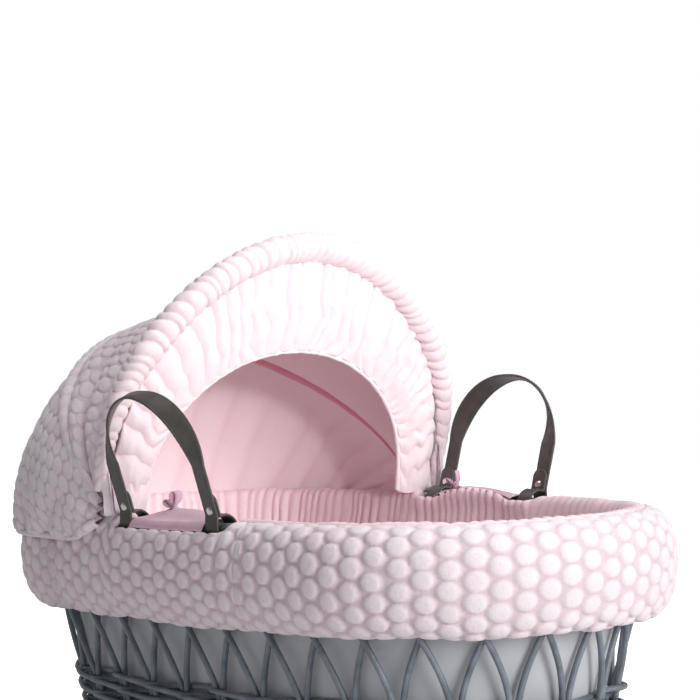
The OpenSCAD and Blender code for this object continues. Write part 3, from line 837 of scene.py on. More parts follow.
@dataclass
class Dressing:
    """The padded cloth dressing: skirt, inner wall, backing, slot trims and bedding."""

    plan: Plan
    skirt_columns: int = 98
    skirt_low: float = 0.155

    def blend_profiles(self, s: Array, plain: Array, slotted: Array) -> Array:
        """Mixes two profiles of (offset, height) by how far each place is in a slot."""
        base = self.plan.place(s, 0.0, self.plan.rim_z)
        w = slot_share(base)[:, None, None]
        return plain[None] * (1 - w) + slotted[None] * w

    def skirt(self) -> bpy.types.Object:
        """The bubble fleece skirt, from its gathered hem over to the ridge."""
        face_plain = smooth_path([(-7, 153), (-1, 152.5), (7, 155), (16, 163), (22.5, 175), (26, 189), (27, 203),
                                  (26.4, 216), (24.2, 227), (20.4, 236.5), (15, 243.6), (8.5, 248), (3, 249.8), (-1,
                                          250)], 96) * MM
        face_slot = smooth_path([(-7, 153), (-1, 152.5), (7, 155), (16, 163), (22.5, 175), (26, 189), (27, 202),
                                 (26.6, 213), (25, 223.5), (22.6, 232.4), (19.6, 238.6), (17, 240.6), (15.2,
                                         239.6)], 96) * MM
        back_plain = smooth_path([(-1.2, 247.4), (3, 246.6), (8.6, 243.6), (11, 236), (10.6, 228), (7, 217), (1, 200),
                (-7, 165)], 16) * MM
        back_slot = smooth_path([(14.8, 237), (14.7, 235), (14.6, 233), (13, 229), (10.6, 225), (7, 217), (1, 200),
                (-7, 165)], 16) * MM
        columns, per = self.skirt_columns, 10
        s = np.arange(columns * per) / (columns * per)
        face = self.blend_profiles(s, face_plain, face_slot)
        back = self.blend_profiles(s, back_plain, back_slot)
        run = np.concatenate([[0], np.cumsum(np.linalg.norm(np.diff(face_plain, axis=0), axis=1))])
        bubbles = FLEECE_BUBBLES
        u = (np.arange(columns * per) / per * bubbles.across)[:, None]
        v = np.broadcast_to(run[None], (len(s), len(run)))
        drift = 0.0035 * wander2(u + 0 * v, v * 1.0, 0.11, 5.0)
        relief, hollow = bubbles.relief(u + 0 * v, v + drift, columns, 1.0)
        fade = smoothstep(v / 0.012) * (1 - 0.55 * smoothstep((v - run[-1] + 0.022) / 0.02))
        relief = relief * fade
        # cross gathers where the ring is sewn together by the head and at mid length
        pull = np.zeros_like(v)
        seams = ((self.plan.share_at(0.135, Side.NEAR), 0.0035), (self.plan.share_at(-0.205, Side.NEAR), 0.014),
                 (self.plan.share_at(0.12, Side.FAR), 0.004), (self.plan.share_at(-0.20, Side.FAR), 0.012))
        for place, width in seams:
            gap = np.abs(np.mod(s - place + 0.5, 1) - 0.5)[:, None]
            pull = np.maximum(pull,
                    np.exp(-((gap / width) ** 2)) * (0.6 + 0.4 * np.cos(gap * self.plan.length / 0.006 * 2 * np.pi)))
        relief = relief * (1 - 0.7 * pull) - 2.2 * MM * pull * fade
        sag = 1.0 + 0.06 * wander(s * self.plan.length, 0.16, 9.0)[:, None]
        hem_drop = -2.2 * MM * np.exp(-((v / 0.05) ** 2)) * (1 + wander(s * self.plan.length, 0.055, 2.0)[:, None])
        d, z = face[..., 0] * sag, face[..., 1] + hem_drop
        pts = self.plan.place(s[:, None], d, z)
        nrm = grid_normals(pts, True, False)
        out = self.plan.locate(s)[1]
        flip = np.sign(np.einsum("ij,ij->i", nrm[:, 45, :2], out))[:, None, None]
        pts = pts + nrm * flip * (relief - 2.4 * MM * fade)[..., None]
        wall = self.plan.place(s[:, None], back[..., 0], back[..., 1])
        ring = np.concatenate([pts, wall], axis=1)
        # painted shade in the bubble valleys, on the skirt's face only
        mask = np.concatenate([hollow * fade, np.zeros(back.shape[:2])], axis=1)
        obj = FLEECE.dress(ring_piece("bumper_skirt_fleece", ring, hollow=mask))
        return ride(obj, Body.BASKET, "bumper_skirt", "skirt_elastic")

    def inner_wall(self) -> bpy.types.Object:
        """The ruched padded wall inside, rolled over the rim."""
        p = self.plan
        rz = p.rim_z * 1000

        def wall_d(z: float, off: float) -> float:
            """Offset in millimetres of the wall at height z, off in from its middle."""
            return -(rz - z) * p.slope - off

        plain = smooth_path([(-1.0, rz + 3.6), (-3, rz + 6.2), (-9, rz + 6.8), (-15.5, rz + 3), (-19, rz - 5),
                             (wall_d(rz - 18, 18), rz - 18), (wall_d(rz - 60, 18.6), rz - 60),
                             (wall_d(rz - 130, 19), rz - 130), (wall_d(16, 19), 16)], 74) * MM
        lip = smooth_path([(-16.6, rz - 8), (-16.4, rz - 3), (-17.4, rz + 2), (-20.2, rz + 2.5), (-22.6, rz - 3),
                           (wall_d(rz - 20, 18), rz - 20), (wall_d(rz - 60, 18.6), rz - 60),
                           (wall_d(rz - 130, 19), rz - 130), (wall_d(16, 19), 16)], 74) * MM
        back_plain = smooth_path([(wall_d(14.5, 12), 14.5), (wall_d(100, 11.5), 100), (wall_d(rz - 18, 11.4), rz - 18),
                                  (-10.6, rz - 12), (-9.6, rz - 3), (-6.4, rz + 1.2), (-1.2, rz + 1.8)], 18) * MM
        back_lip = smooth_path([(wall_d(14.5, 12), 14.5), (wall_d(100, 11.5), 100), (wall_d(rz - 24, 11.4), rz - 24),
                                (-15, rz - 17), (-16, rz - 14.5), (-16.2, rz - 12), (-16.5, rz - 10)], 18) * MM
        count = 1200
        s = np.arange(count) / count
        length = p.length
        face = self.blend_profiles(s, plain, lip)
        back = self.blend_profiles(s, back_plain, back_lip)
        base = p.place(s, 0.0, p.rim_z)
        rise = slot_share(base, 0.01) * np.clip(1 - ((base[:, 0] - 0.015) / 0.058) ** 2, 0, 1) ** 0.7
        face[..., 1] += rise[:, None] * 11.0 * MM * smoothstep(1 - np.arange(74) / 26)[None]
        run = np.concatenate([[0], np.cumsum(np.linalg.norm(np.diff(plain, axis=0), axis=1))])
        valleys = valley_places(length, 8.5 * MM, 17 * MM, 11, closed=True)
        v = np.broadcast_to(run[None], (count, 74))
        u = (s * length)[:, None] + 3.4 * MM * wander2((s * length)[:, None] + 0 * v, v, 0.035, 3.0)
        u = np.mod(u, length)
        fold = cusps(u, valleys, 0.6)
        depth = 4.4 * MM * smoothstep(v / 0.014) * (0.55 + 0.45 * wander2((s * length)[:, None] + 0 * v, v, 0.045, 8.0))
        depth = depth * (1 - 0.55 * smoothstep((v - 0.09) / 0.1))
        pts = p.place(s[:, None], face[..., 0], face[..., 1])
        nrm = grid_normals(pts, True, False)
        out = p.locate(s)[1]
        flip = -np.sign(np.einsum("ij,ij->i", nrm[:, 40, :2], out))[:, None, None]
        puff = 1.4 * MM * wander2((s * length)[:, None] + 0 * v, v, 0.03, 15.0) * smoothstep(v / 0.01)
        pts = pts + nrm * flip * (depth * (fold - 0.62) + puff)[..., None]
        ring = np.concatenate([pts, p.place(s[:, None], back[..., 0], back[..., 1])], axis=1)
        # painted shade in the valleys of the ruching
        hollow = np.concatenate([(1 - fold) ** 1.5 * smoothstep(v / 0.012) * 0.8, np.zeros(back.shape[:2])], axis=1)
        obj = RUCHED.dress(ring_piece("inner_wall_ruched", ring, hollow=hollow))
        return ride(obj, Body.BASKET, "liner_wall")

    def backing(self) -> bpy.types.Object:
        """The white cotton seen through the lattice, hanging in soft waves."""
        p = self.plan
        s = np.linspace(0, 1, 721)[:-1]
        z = np.linspace(0.0135, p.rim_z - 16.5 * MM, 26)
        zz = np.broadcast_to(z[None], (720, 26))
        wave = 0.9 * MM * wander2((s * p.length)[:, None] + 0 * zz, zz, 0.05, 21.0)
        d = p.lean(zz) - 10.2 * MM + wave - 0.2 * MM
        front = p.place(s[:, None], d, zz)
        rear = p.place(s[:, None], d - 0.7 * MM, zz)[:, ::-1]
        obj = COTTON.dress(ring_piece("cotton_backing", np.concatenate([front, rear], axis=1)))
        return ride(obj, Body.BASKET, "liner_backing")

    def base_cloth(self) -> bpy.types.Object:
        """Cotton floor of the dressing, under the mattress."""
        p = self.plan
        s = np.linspace(0, 1, 241)[:-1]
        rings = []
        for share in (1.0, 0.75, 0.5, 0.25, 0.04):
            ring = p.place(s, p.lean(0.0125) - 19.5 * MM, 0.0139)
            ring[:, :2] *= share
            ring[:, 2] += 0.12 * MM * wander(s * 40 + share * 9, 2.0, 4.0)
            rings.append(ring)
        top = np.stack(rings, axis=1)
        under = top[:, ::-1].copy()
        under[..., 2] -= 1.1 * MM
        obj = SHEETING.dress(ring_piece("floor_cloth", np.concatenate([top, under], axis=1)))
        return ride(obj, Body.BASKET, "liner_base")

    def mattress(self) -> bpy.types.Object:
        """The mattress: a crowned pad, pushed out by up to the cap in a short cloth simulation."""
        p = self.plan
        low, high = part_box("mattress")
        s = np.linspace(0, 1, 161)[:-1]
        d_edge = float(high[0]) - p.half_length
        rings = []
        for share, z in ((0.02, high[2] - 3 * MM), (0.5, high[2] - 3 * MM), (0.93, high[2] - 3 * MM), (0.985,
                high[2] - 8 * MM),
                         (0.985, low[2] + 6 * MM), (0.93, low[2] + 1 * MM), (0.5, low[2] + 1 * MM), (0.02,
                                 low[2] + 1 * MM)):
            ring = p.place(s, d_edge, z)
            ring[:, :2] *= share
            rings.append(ring)
        obj = ring_piece("mattress_pad", np.stack(rings, axis=1))
        swell(obj, voxel=9 * MM, pressure=3.0, cap=5 * MM)
        SHEETING.dress(obj)
        return ride(obj, Body.BASKET, "mattress")

    def facing(self, side: Side) -> bpy.types.Object:
        """Thin cotton across a handle slot, from the skirt's lip over the border to the inner lip."""
        p = self.plan
        x = np.linspace(-0.047, 0.077, 90)[:, None]
        rise = np.clip(1 - ((x - 0.015) / 0.064) ** 2, 0, 1) ** 0.8
        knots = smooth_path([(15.4, -4.4), (14.0, -3.0), (12.0, 0.6), (8.6, 3.6), (2.0, 4.6), (-6.0, 4.9), (-12.5,
                4.6), (-16.5, 3.6), (-19.5, 2.2)], 40)
        d = knots[:, 0][None] + 0 * x
        z = knots[:, 1][None] + rise * 9.5 * smoothstep((6.0 - d) / 22) + 0.7 * wander2(x, d * MM, 0.017, 6.0)
        y = p.half_width - (x - 0.0) ** 2 / (2 * p.side_r)
        pts = np.stack([x + 0 * d, side.value * (y + d * MM), p.rim_z + z * MM], axis=-1)
        tag = side.name.lower()
        cloth = RIBBON.dress(shell_piece(f"slot_facing_cloth_{tag}", pts, 0.5 * MM * side.value))
        return ride(cloth, Body.BASKET, f"slot_facing_{tag}")

    def bow(self, side: Side) -> bpy.types.Object:
        """A tied bow of flat ribbon standing on the slot's inner lip."""
        p = self.plan
        centre = np.array([-0.012, side.value * (p.half_width - 17 * MM), p.rim_z + 14.5 * MM])
        verts, faces, count = [], [], 0
        loops = [
            [(0, 0, 0), (-6, 1, 3), (-12, 1.5, 7), (-15, 0, 6), (-12, -1.5, 3), (-6, -1, 0), (0, 0, -0.5)],
            [(0, 0, 0), (4, 1.5, 7), (4, 2, 13), (1, 0, 15.5), (-1.5, -1.5, 12), (-1, -1, 6), (0, 0, 0.5)],
            [(0, -0.5, 0), (4, -2, -1), (10, -3.5, -2.5), (17, -5, -4.6)],
            [(0, -0.5, 0), (-4, -2.5, -2), (-9, -4.5, -4), (-15, -6, -5.5)],
        ]
        for knots in loops:
            path = smooth_path(knots, 26) * MM
            path[:, 1] *= -side.value
            path += centre
            wide = 3.6 * MM * np.clip(np.linspace(0.35, 1.0, 26) * 1.8, 0, 1)
            if knots[0] == knots[-1] or len(knots) == 7:
                wide = 3.6 * MM * np.clip(np.sin(np.linspace(0.12, np.pi - 0.12, 26)) * 1.5, 0, 1)
            across = np.array([0.25, 0.95, 0.15]) * np.array([1, -side.value, 1])
            a = path - across * wide[:, None]
            b = path + across * wide[:, None]
            t = unit(np.gradient(path, axis=0))
            n = unit(np.cross(t, across)) * 0.35 * MM
            ring = np.stack([a + n, path + 1.5 * n, b + n, b - n, path - 0.5 * n, a - n], axis=1)
            verts.append(ring.reshape(-1, 3))
            faces += grid_faces(26, 6, False, True, count)
            faces.append(tuple(range(count, count + 6)))
            faces.append(tuple(range(count + 26 * 6 - 1, count + 25 * 6 - 1, -1)))
            count += 26 * 6
        turn = np.linspace(0, 2 * np.pi, 15)[:-1]
        knot_rings = []
        for z, r in ((-3.2, 1.2), (-2.4, 2.6), (-0.8, 3.3), (0.8, 3.2), (2.4, 2.5), (3.2, 1.1)):
            crease = 1 + 0.12 * np.cos(4 * turn + z)
            knot_rings.append(centre + np.stack([r * MM * np.cos(turn) * crease, r * MM * 0.8 * np.sin(turn) * crease,
                                                 np.full(14, z * MM)], axis=-1))
        verts.append(np.stack(knot_rings).reshape(-1, 3))
        faces += grid_faces(6, 14, False, True, count)
        faces.append(tuple(range(count, count + 14)))
        faces.append(tuple(range(count + 6 * 14 - 1, count + 5 * 14 - 1, -1)))
        tag = side.name.lower()
        obj = RIBBON.dress(new_object(f"ribbon_bow_{tag}", np.concatenate(verts), faces))
        return ride(obj, Body.BASKET, f"ribbon_tie_{tag}")

    def build(self) -> list[bpy.types.Object]:
        """Builds every piece of the dressing and sets each on the basket."""
        pieces = [self.skirt(), self.inner_wall(), self.backing(), self.base_cloth(), self.mattress()]
        for side in Side:
            pieces += [self.facing(side), self.bow(side)]
        return pieces


def swell(obj: bpy.types.Object, voxel: float, pressure: float, cap: float) -> None:
    """Runs a short cloth simulation on a pad and applies the result, held to a cap.

    At the pressure used now every point reaches the cap, so the cap sets the shape.

    Args:
        obj: the pad, in place.
        voxel: size of the even mesh it is remade with.
        pressure: the push from inside.
        cap: the furthest that any point may move.
    """
    bpy.context.view_layer.objects.active = obj
    remesh = obj.modifiers.new("even", "REMESH")
    remesh.mode = "VOXEL"
    remesh.voxel_size = voxel
    graph = bpy.context.evaluated_depsgraph_get()
    even = bpy.data.meshes.new_from_object(obj.evaluated_get(graph))
    obj.modifiers.clear()
    obj.data = even
    start = np.array([v.co for v in even.vertices])
    cloth = obj.modifiers.new("cloth", "CLOTH")
    cloth.settings.use_pressure = True
    cloth.settings.uniform_pressure_force = pressure
    cloth.settings.effector_weights.gravity = 0
    cloth.settings.quality = 4
    cloth.point_cache.frame_end = 16
    scene = bpy.context.scene
    for step in range(1, 17):
        scene.frame_set(step)
    graph = bpy.context.evaluated_depsgraph_get()
    done = np.array([v.co for v in obj.evaluated_get(graph).data.vertices])
    obj.modifiers.clear()
    scene.frame_set(1)
    move = done - start
    size = np.linalg.norm(move, axis=1, keepdims=True)
    move *= np.minimum(1, cap / np.maximum(size, 1e-9))
    even.vertices.foreach_set("co", (start + move).astype(np.float32).ravel())
    even.polygons.foreach_set("use_smooth", [True] * len(even.polygons))
    even.update()


# ------------------------------------------------------------------ handles


@dataclass
class Handles:
    """Two looped strap handles, hinged on the border cane."""

    lean: float = math.radians(16)
    half: float = 74.5 * MM
    rise: float = 131 * MM
    width: float = 20 * MM
    run: float = -7 * MM
    arch_low: float = 62 * MM
    stitch_in: float = 2.1 * MM
    stitch_pitch: float = 4.0 * MM
    foot: tuple[tuple[float, float], ...] = (
        (-4.2, 34), (-4.2, 28), (-4.2, 13.4), (-2.9, 11.8), (2.6, 11.1), (7.3, 7.7), (10.1, 3.2), (10.5, -1.5), (8.7,
                -6.1),
        (4.7, -9.5), (0, -10.6), (-4.7, -9.5), (-8.7, -6.1), (-10.5, -1.5), (-10.2, 3.5), (-8.6, 9), (-7.05,
                13.4), (-7, 18), (-7, 26),
    )

    def centre_line(self) -> tuple[Array, Array]:
        """The strap's middle line and the direction of its width, in the handle's own frame."""
        foot = smooth_path(self.foot, 110) * MM
        left = np.stack([np.full(110, -self.half), foot[:, 0], foot[:, 1]], axis=-1)
        right = left[::-1] * np.array([-1, 1, 1])
        q = np.linspace(0, 1, 150)
        a = np.pi * q
        arch = np.stack([-self.half * np.cos(a), np.full(150, self.run),
                self.arch_low + (self.rise - self.arch_low) * np.sin(a)], axis=-1)
        rise = np.linspace(0, 1, 14)[1:-1, None]
        up = left[-1] + (arch[0] - left[-1]) * rise
        down = arch[-1] + (right[0] - arch[-1]) * rise
        turn = np.radians(90 * (1 - np.abs(1 - 2 * q) ** 1.5))
        along = unit(np.stack([np.sin(a) * self.half, np.zeros(150), np.cos(a) * (self.rise - self.arch_low)], axis=-1))
        flat = np.stack([along[:, 2], np.zeros(150), -along[:, 0]], axis=-1)
        wide = flat * np.cos(turn)[:, None] - np.array([0, 1, 0]) * np.sin(turn)[:, None]
        x = np.array([[1.0, 0, 0]])
        wides = np.concatenate([np.repeat(x, 122, 0), wide, np.repeat(-x, 122, 0)])
        return np.concatenate([left, up, arch, down, right]), wides

    def to_world(self, points: Array, side: Side) -> Array:
        """Carries points from a handle's own frame to its place on the rim."""
        hinge = np.array(next(j for j in frame["joints"] if j["child"] == f"handle_{side.name.lower()}")["pos_m"])
        c, s = math.cos(self.lean), math.sin(self.lean)
        y = points[..., 1] * c - points[..., 2] * s
        z = points[..., 1] * s + points[..., 2] * c
        return hinge + np.stack([points[..., 0], -side.value * y, z], axis=-1)

    def strap(self, side: Side) -> list[bpy.types.Object]:
        """One strap: two bonded plies with pressed edges, and its lines of stitches."""
        line, wide = self.centre_line()
        along = unit(np.gradient(line, axis=0))
        thick = unit(np.cross(along, wide))
        wide = unit(np.cross(thick, along))
        run = np.concatenate([[0], np.cumsum(np.linalg.norm(np.diff(line, axis=0), axis=1))])
        edge = np.minimum(run, run[-1] - run)
        half = self.width / 2 * np.sqrt(np.clip(1 - (1 - np.clip(edge / (7 * MM), 0, 1)) ** 2 * 0.93, 0, 1))
        groove = 1 - 2 * self.stitch_in / self.width
        section = [(-1, 0.30), (-0.985, 0.72), (-0.93, 0.97), (-0.88, 1.02), (-groove, 0.86), (-0.71, 1.02), (-0.35,
                1.05), (0, 1.06),
                   (0.35, 1.05), (0.71, 1.02), (groove, 0.86), (0.88, 1.02), (0.93, 0.97), (0.985, 0.72), (1, 0.30)]
        section += [(a, -h) for a, h in section[::-1]]
        ring = []
        for a, h in section:
            soft = 0.07 * wander2(run, run * 0 + a * 0.01, 0.011, 4.0 + side.value)
            ring.append(line + wide * (half * a)[:, None] + thick * ((h + soft) * 1.15 * MM)[:, None])
        verts = self.to_world(np.stack(ring, axis=1), side)
        m, n, _ = verts.shape
        faces = grid_faces(m, n, False, True) + [tuple(range(n)), tuple(range(m * n - 1, (m - 1) * n - 1, -1))]
        tag = side.name.lower()
        body = Body.HANDLE_NEAR if side is Side.NEAR else Body.HANDLE_FAR
        strap = ride(LEATHER.dress(new_object(f"strap_{tag}", verts, faces)), body, f"handle_strap_{tag}")
        batch = TubeBatch(sides=5)
        starts = np.arange(9 * MM, run[-1] - 9 * MM, self.stitch_pitch)
        dip = np.array([-0.30, 0.12, 0.20, 0.12, -0.30]) * MM
        for face in (-1, 1):
            for row in (-1, 1):
                for start in starts:
                    at = np.linspace(start, start + 2.9 * MM, 5)
                    mid = np.stack([np.interp(at, run, line[:, k]) for k in range(3)], axis=-1)
                    w = np.stack([np.interp(at, run, wide[:, k]) for k in range(3)], axis=-1)
                    t = np.stack([np.interp(at, run, thick[:, k]) for k in range(3)], axis=-1)
                    path = mid + w * row * (self.width / 2 - self.stitch_in) + t * face * (1.0 * MM + dip)[:, None]
                    path = self.to_world(path, side)
                    up = unit(self.to_world(t[2], side) - self.to_world(t[2] * 0, side))
                    batch.add(path, np.array([0.2, 0.34, 0.36, 0.34, 0.2]) * MM, up)
        thread = ride(THREAD.dress(batch.piece(f"strap_stitches_{tag}")), body)
        return [strap, thread]

    def build(self) -> list[bpy.types.Object]:
        """Builds both straps with their stitches."""
        pieces = []
        for side in Side:
            pieces += self.strap(side)
            NICKEL.repaint(f"handle_rivets_{side.name.lower()}")
        return pieces


# ------------------------------------------------------------------ hood


@dataclass
class Hood:
    """The folding hood: fleece and lining over two hoops, with a gathered front."""

    plan: Plan
    rise: float = 248 * MM
    swell: float = 0.055
    rear: float = math.radians(-49)
    front: float = math.radians(17)
    rear_foot: float = 192.2 * MM
    front_foot: float = 198.0 * MM
    mouth_half: float = 158 * MM
    mouth_rise: float = 150 * MM
    cloth: float = 3.0 * MM

    @property
    def pivot(self) -> Array:
        """The middle of the hood's hinge line."""
        return np.array(next(j for j in frame["joints"] if j["name"] == "hood_fold")["pos_m"])

    def at(self, u: Array, angle: Array, grow: Array, foot: Array) -> Array:
        """Points on a hoop-shaped arch that leans about the hinge line.

        Args:
            u: share along the arch, 0 at the far foot and 1 at the near one.
            angle: lean from upright, forward above 0.
            grow: how far outside the hoop's middle line.
            foot: half the span at its feet.

        Returns:
            The points, as (..., 3).
        """
        u, angle, grow, foot = np.broadcast_arrays(np.asarray(u, float), angle, grow, foot)
        a = np.pi * u
        h = (self.rise + grow) * np.sin(a)
        y = (foot + grow) * np.cos(a) * (1 + self.swell * np.sin(np.pi * np.clip(np.sin(a), 0, 1)))
        x0, _, z0 = self.pivot
        return np.stack([x0 + h * np.sin(angle), y, z0 + h * np.cos(angle)], axis=-1)

    def blend(self, obj: bpy.types.Object, share: Array) -> bpy.types.Object:
        """Eases a share for each point, writes it into the points for a moment and puts them back; the piece is left
        unchanged and rides on no body.

        Args:
            obj: the piece, finished and with no parent.
            share: how much of the turn each point takes, 0 to 1.

        Returns:
            The piece.
        """
        share = np.clip(np.ravel(share), 0, 1)
        even = 0.5 - np.sin(np.arcsin(1 - 2 * share) / 3)
        mesh = obj.data
        kept = np.empty(len(mesh.vertices) * 3, np.float32)
        mesh.vertices.foreach_get("co", kept)
        line = np.zeros((len(share), 3), np.float32)
        line[:, 0] = even
        mesh.vertices.foreach_set("co", line.ravel())
        mesh.update()
        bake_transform(obj)
        mesh.vertices.foreach_set("co", kept)
        mesh.update()
        return obj

    def feet(self, pts: Array, u: Array, f: Array, spread: float, drop: float) -> Array:
        """Spreads gathered cloth at the feet, where it tucks in behind the padding.

        Args:
            pts: the cloth's points.
            u: share along the arch of each.
            f: share across the cloth of each, 0 at its rear edge.
            spread: half the width of the cloth at its feet.
            drop: how far below the hinge line it reaches.

        Returns:
            The moved points.
        """
        low = np.exp(-((np.sin(np.pi * u) / 0.17) ** 2))
        pts = pts.copy()
        pts[..., 0] += low * spread * (2 * f - 1)
        pts[..., 2] -= low * drop
        return pts

    def front_cover(self) -> bpy.types.Object:
        """Outer fleece between the two hoops, sagging with gathers that fan from its feet."""
        m, n = 620, 230
        u = np.linspace(0.004, 0.996, m)[:, None] * np.ones((1, n))
        f = np.linspace(0, 1, n)[None] * np.ones((m, 1))
        crown = np.sin(np.pi * u)
        angle = self.rear + (self.front - self.rear) * f
        length = (u - 0.5) * 0.70
        side = np.abs(u - 0.5) * 2
        sag = np.sin(np.pi * np.clip(f, 0, 1)) ** 0.8 * (15 + 7 * smoothstep((side - 0.1) / 0.5)) * MM
        bend = f + 0.045 * wander2(length, f * 0.2, 0.085, 31.0)
        folds = cusps(bend, np.array([-0.2, 0.03, 0.21, 0.43, 0.60, 0.80, 0.97, 1.2]), 0.8)
        depth = (1.5 + 10.5 * smoothstep((side - 0.12) / 0.62)) * MM * np.sin(np.pi * np.clip(f, 0.02, 0.98)) ** 0.5
        flat = 0.30 * (0.26 + 0.74 * crown)
        bubbles, hollow = FLEECE_BUBBLES.relief(length + 0.006 * wander2(length, f * 0.3, 0.06, 2.0), f * flat + 0.4,
                0, 7.0)
        squeeze = np.clip(crown * 0.75 + 0.25, 0, 1)
        rear_edge = self.at(u[:, 0], self.rear + 0.012, 9.5 * MM, self.rear_foot)
        front_edge = self.at(u[:, 0], self.front - 0.020, 6 * MM, self.front_foot)
        base = rear_edge[:, None] * (1 - f[..., None]) + front_edge[:, None] * f[..., None]
        out = unit(grid_normals(base, False, False))
        out *= np.sign(np.einsum("ijk,ijk->ij", out, base - np.array([-0.16, 0, 0.22])))[..., None]
        ends = np.sin(np.pi * np.clip(f, 0, 1)) ** 0.45
        move = ends * (7.5 * MM - sag + 2.5 * MM * wander2(length, f * 0.25, 0.05,
                12.0)) + depth * (folds - 0.5) + bubbles * squeeze * ends
        pts = base + out * move[..., None]
        pts = self.feet(pts, u, f, 17 * MM, 14 * MM)
        pts[..., 1] += np.sign(pts[..., 1]) * 3 * MM * np.exp(-((crown / 0.2) ** 2)) * np.cos(f * 7 * np.pi)
        # painted shade in the bubble valleys and the fold valleys
        crease = hollow * squeeze + 0.65 * (1 - folds) ** 2 * smoothstep((side - 0.1) / 0.5)
        obj = FLEECE.dress(shell_piece("hood_cover_front", pts, self.cloth, hollow=np.clip(crease, 0, 1)))
        self.blend(obj, np.concatenate([f.ravel(), f.ravel()]))
        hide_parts("hood_front_panel")
        return obj

    def head_shares(self, m: int, start_x: float) -> Array:
        """Shares of the oval from the far side, round the head end, to the near side."""
        s0 = self.plan.share_at(start_x, Side.FAR)
        return s0 + (1 - 2 * s0) * np.linspace(0, 1, m)

    def back_cover(self) -> bpy.types.Object:
        """Outer fleece from the rear hoop down over the head end to its gathered hem."""
        m, n = 680, 260
        q = np.linspace(0, 1, n)[None] * np.ones((m, 1))
        us = np.linspace(0.004, 0.996, m)
        u = us[:, None] * np.ones((1, n))
        crown = np.sin(np.pi * u)
        s = self.head_shares(m, float(self.pivot[0]) - 4 * MM)
        length = (u - 0.5) * 0.86
        top = self.at(us, self.rear - 0.014, 9.5 * MM, self.rear_foot)
        tuck = np.exp(-(((0.5 - np.abs(us - 0.5)) / 0.022) ** 2))
        reach = 27.5 * MM + 1.0 * MM * wander(s * self.plan.length, 0.03, 5.0) - 9 * MM * tuck
        hem = self.plan.place(s, reach, self.plan.rim_z - 15.5 * MM + 13 * MM * tuck)
        mid = top[:, None] * (1 - q[..., None]) + hem[:, None] * q[..., None]
        out = unit(grid_normals(mid, False, False))
        out *= np.sign(np.einsum("ijk,ijk->ij", out, mid - np.array([-0.2, 0, 0.24])))[..., None]
        bow = np.sin(np.pi * q) ** 0.9 * (17 + 4 * wander2(length, q * 0.2, 0.12, 3.0)) * MM * smoothstep(crown / 0.5)
        side = np.abs(u - 0.5) * 2
        lean = length + 0.10 * (q - 0.5) * np.sign(u - 0.5) * side + 0.006 * wander2(length, q * 0.25, 0.04, 5.0)
        folds = cusps(lean, valley_places(1.0, 0.040, 0.080, 5) - 0.5, 0.85)
        gather = (2.0 + 6.5 * smoothstep((q - 0.25) / 0.75)) * MM * smoothstep(crown / 0.35)
        flat = 0.285 * (0.24 + 0.76 * crown)
        bubbles, hollow = FLEECE_BUBBLES.relief(length, q * flat + 0.3, 0, 13.0)
        fade = smoothstep((1 - q) / 0.05)
        move = bow + gather * (folds - 0.5) + (bubbles - 1.0 * MM) * fade * np.clip(crown * 1.2, 0.2, 1)
        pts = mid + out * move[..., None]
        low = np.exp(-((crown / 0.13) ** 2))
        pts[..., 1] += np.sign(pts[..., 1]) * low * 4 * MM * np.sin(q * 5 * np.pi)
        # painted shade in the bubble valleys and the fold valleys
        hollow = np.clip(hollow * fade + 0.5 * (1 - folds) ** 2 * smoothstep((q - 0.2) / 0.5), 0, 1)
        obj = FLEECE.dress(shell_piece("hood_cover_back", pts, self.cloth, hollow=hollow))
        share = (1 - q).ravel()
        self.blend(obj, np.concatenate([share, share]))
        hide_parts("hood_back_panel")
        return obj

    def back_lining(self) -> bpy.types.Object:
        """Brushed lining inside the back of the hood, in soft fans from its lower edge."""
        m, n = 420, 90
        q = np.linspace(0, 1, n)[None] * np.ones((m, 1))
        us = np.linspace(0.004, 0.996, m)
        u = us[:, None] * np.ones((1, n))
        crown = np.sin(np.pi * u)
        s = self.head_shares(m, float(self.pivot[0]) - 6 * MM)
        top = self.at(us, self.rear - 0.004, -9.5 * MM, self.rear_foot)
        tuck = (8.5 - 15 * (1 - np.sin(np.pi * us)) ** 6) * MM
        low = self.plan.place(s, tuck, self.plan.rim_z + 4 * MM)
        mid = top[:, None] * (1 - q[..., None]) + low[:, None] * q[..., None]
        out = unit(grid_normals(mid, False, False))
        out *= np.sign(np.einsum("ijk,ijk->ij", out, mid - np.array([-0.2, 0, 0.26])))[..., None]
        lean = (u - 0.5) * 0.8 + 0.11 * (q - 0.9) * (u - 0.5) * 2 + 0.004 * wander2(u, q * 0.3, 0.05, 6.0)
        folds = cusps(lean, valley_places(1.1, 0.026, 0.062, 8) - 0.55, 1.15)
        depth = 4.6 * MM * smoothstep(q / 0.55) * (0.55 + 0.45 * wander2(u, q, 0.09, 4.0)) * smoothstep(crown / 0.3)
        bow = np.sin(np.pi * q) * 14 * MM * smoothstep(crown / 0.5)
        pts = mid + out * (bow - depth * (folds - 0.5))[..., None]
        # painted shade in the valleys of the fans
        obj = LINING.dress(shell_piece("hood_lining_back", pts, 1.2 * MM,
                hollow=0.35 * (1 - folds) ** 2 * smoothstep(q / 0.5)))
        share = (1 - q).ravel()
        self.blend(obj, np.concatenate([share, share]))
        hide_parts("hood_back_lining")
        return obj

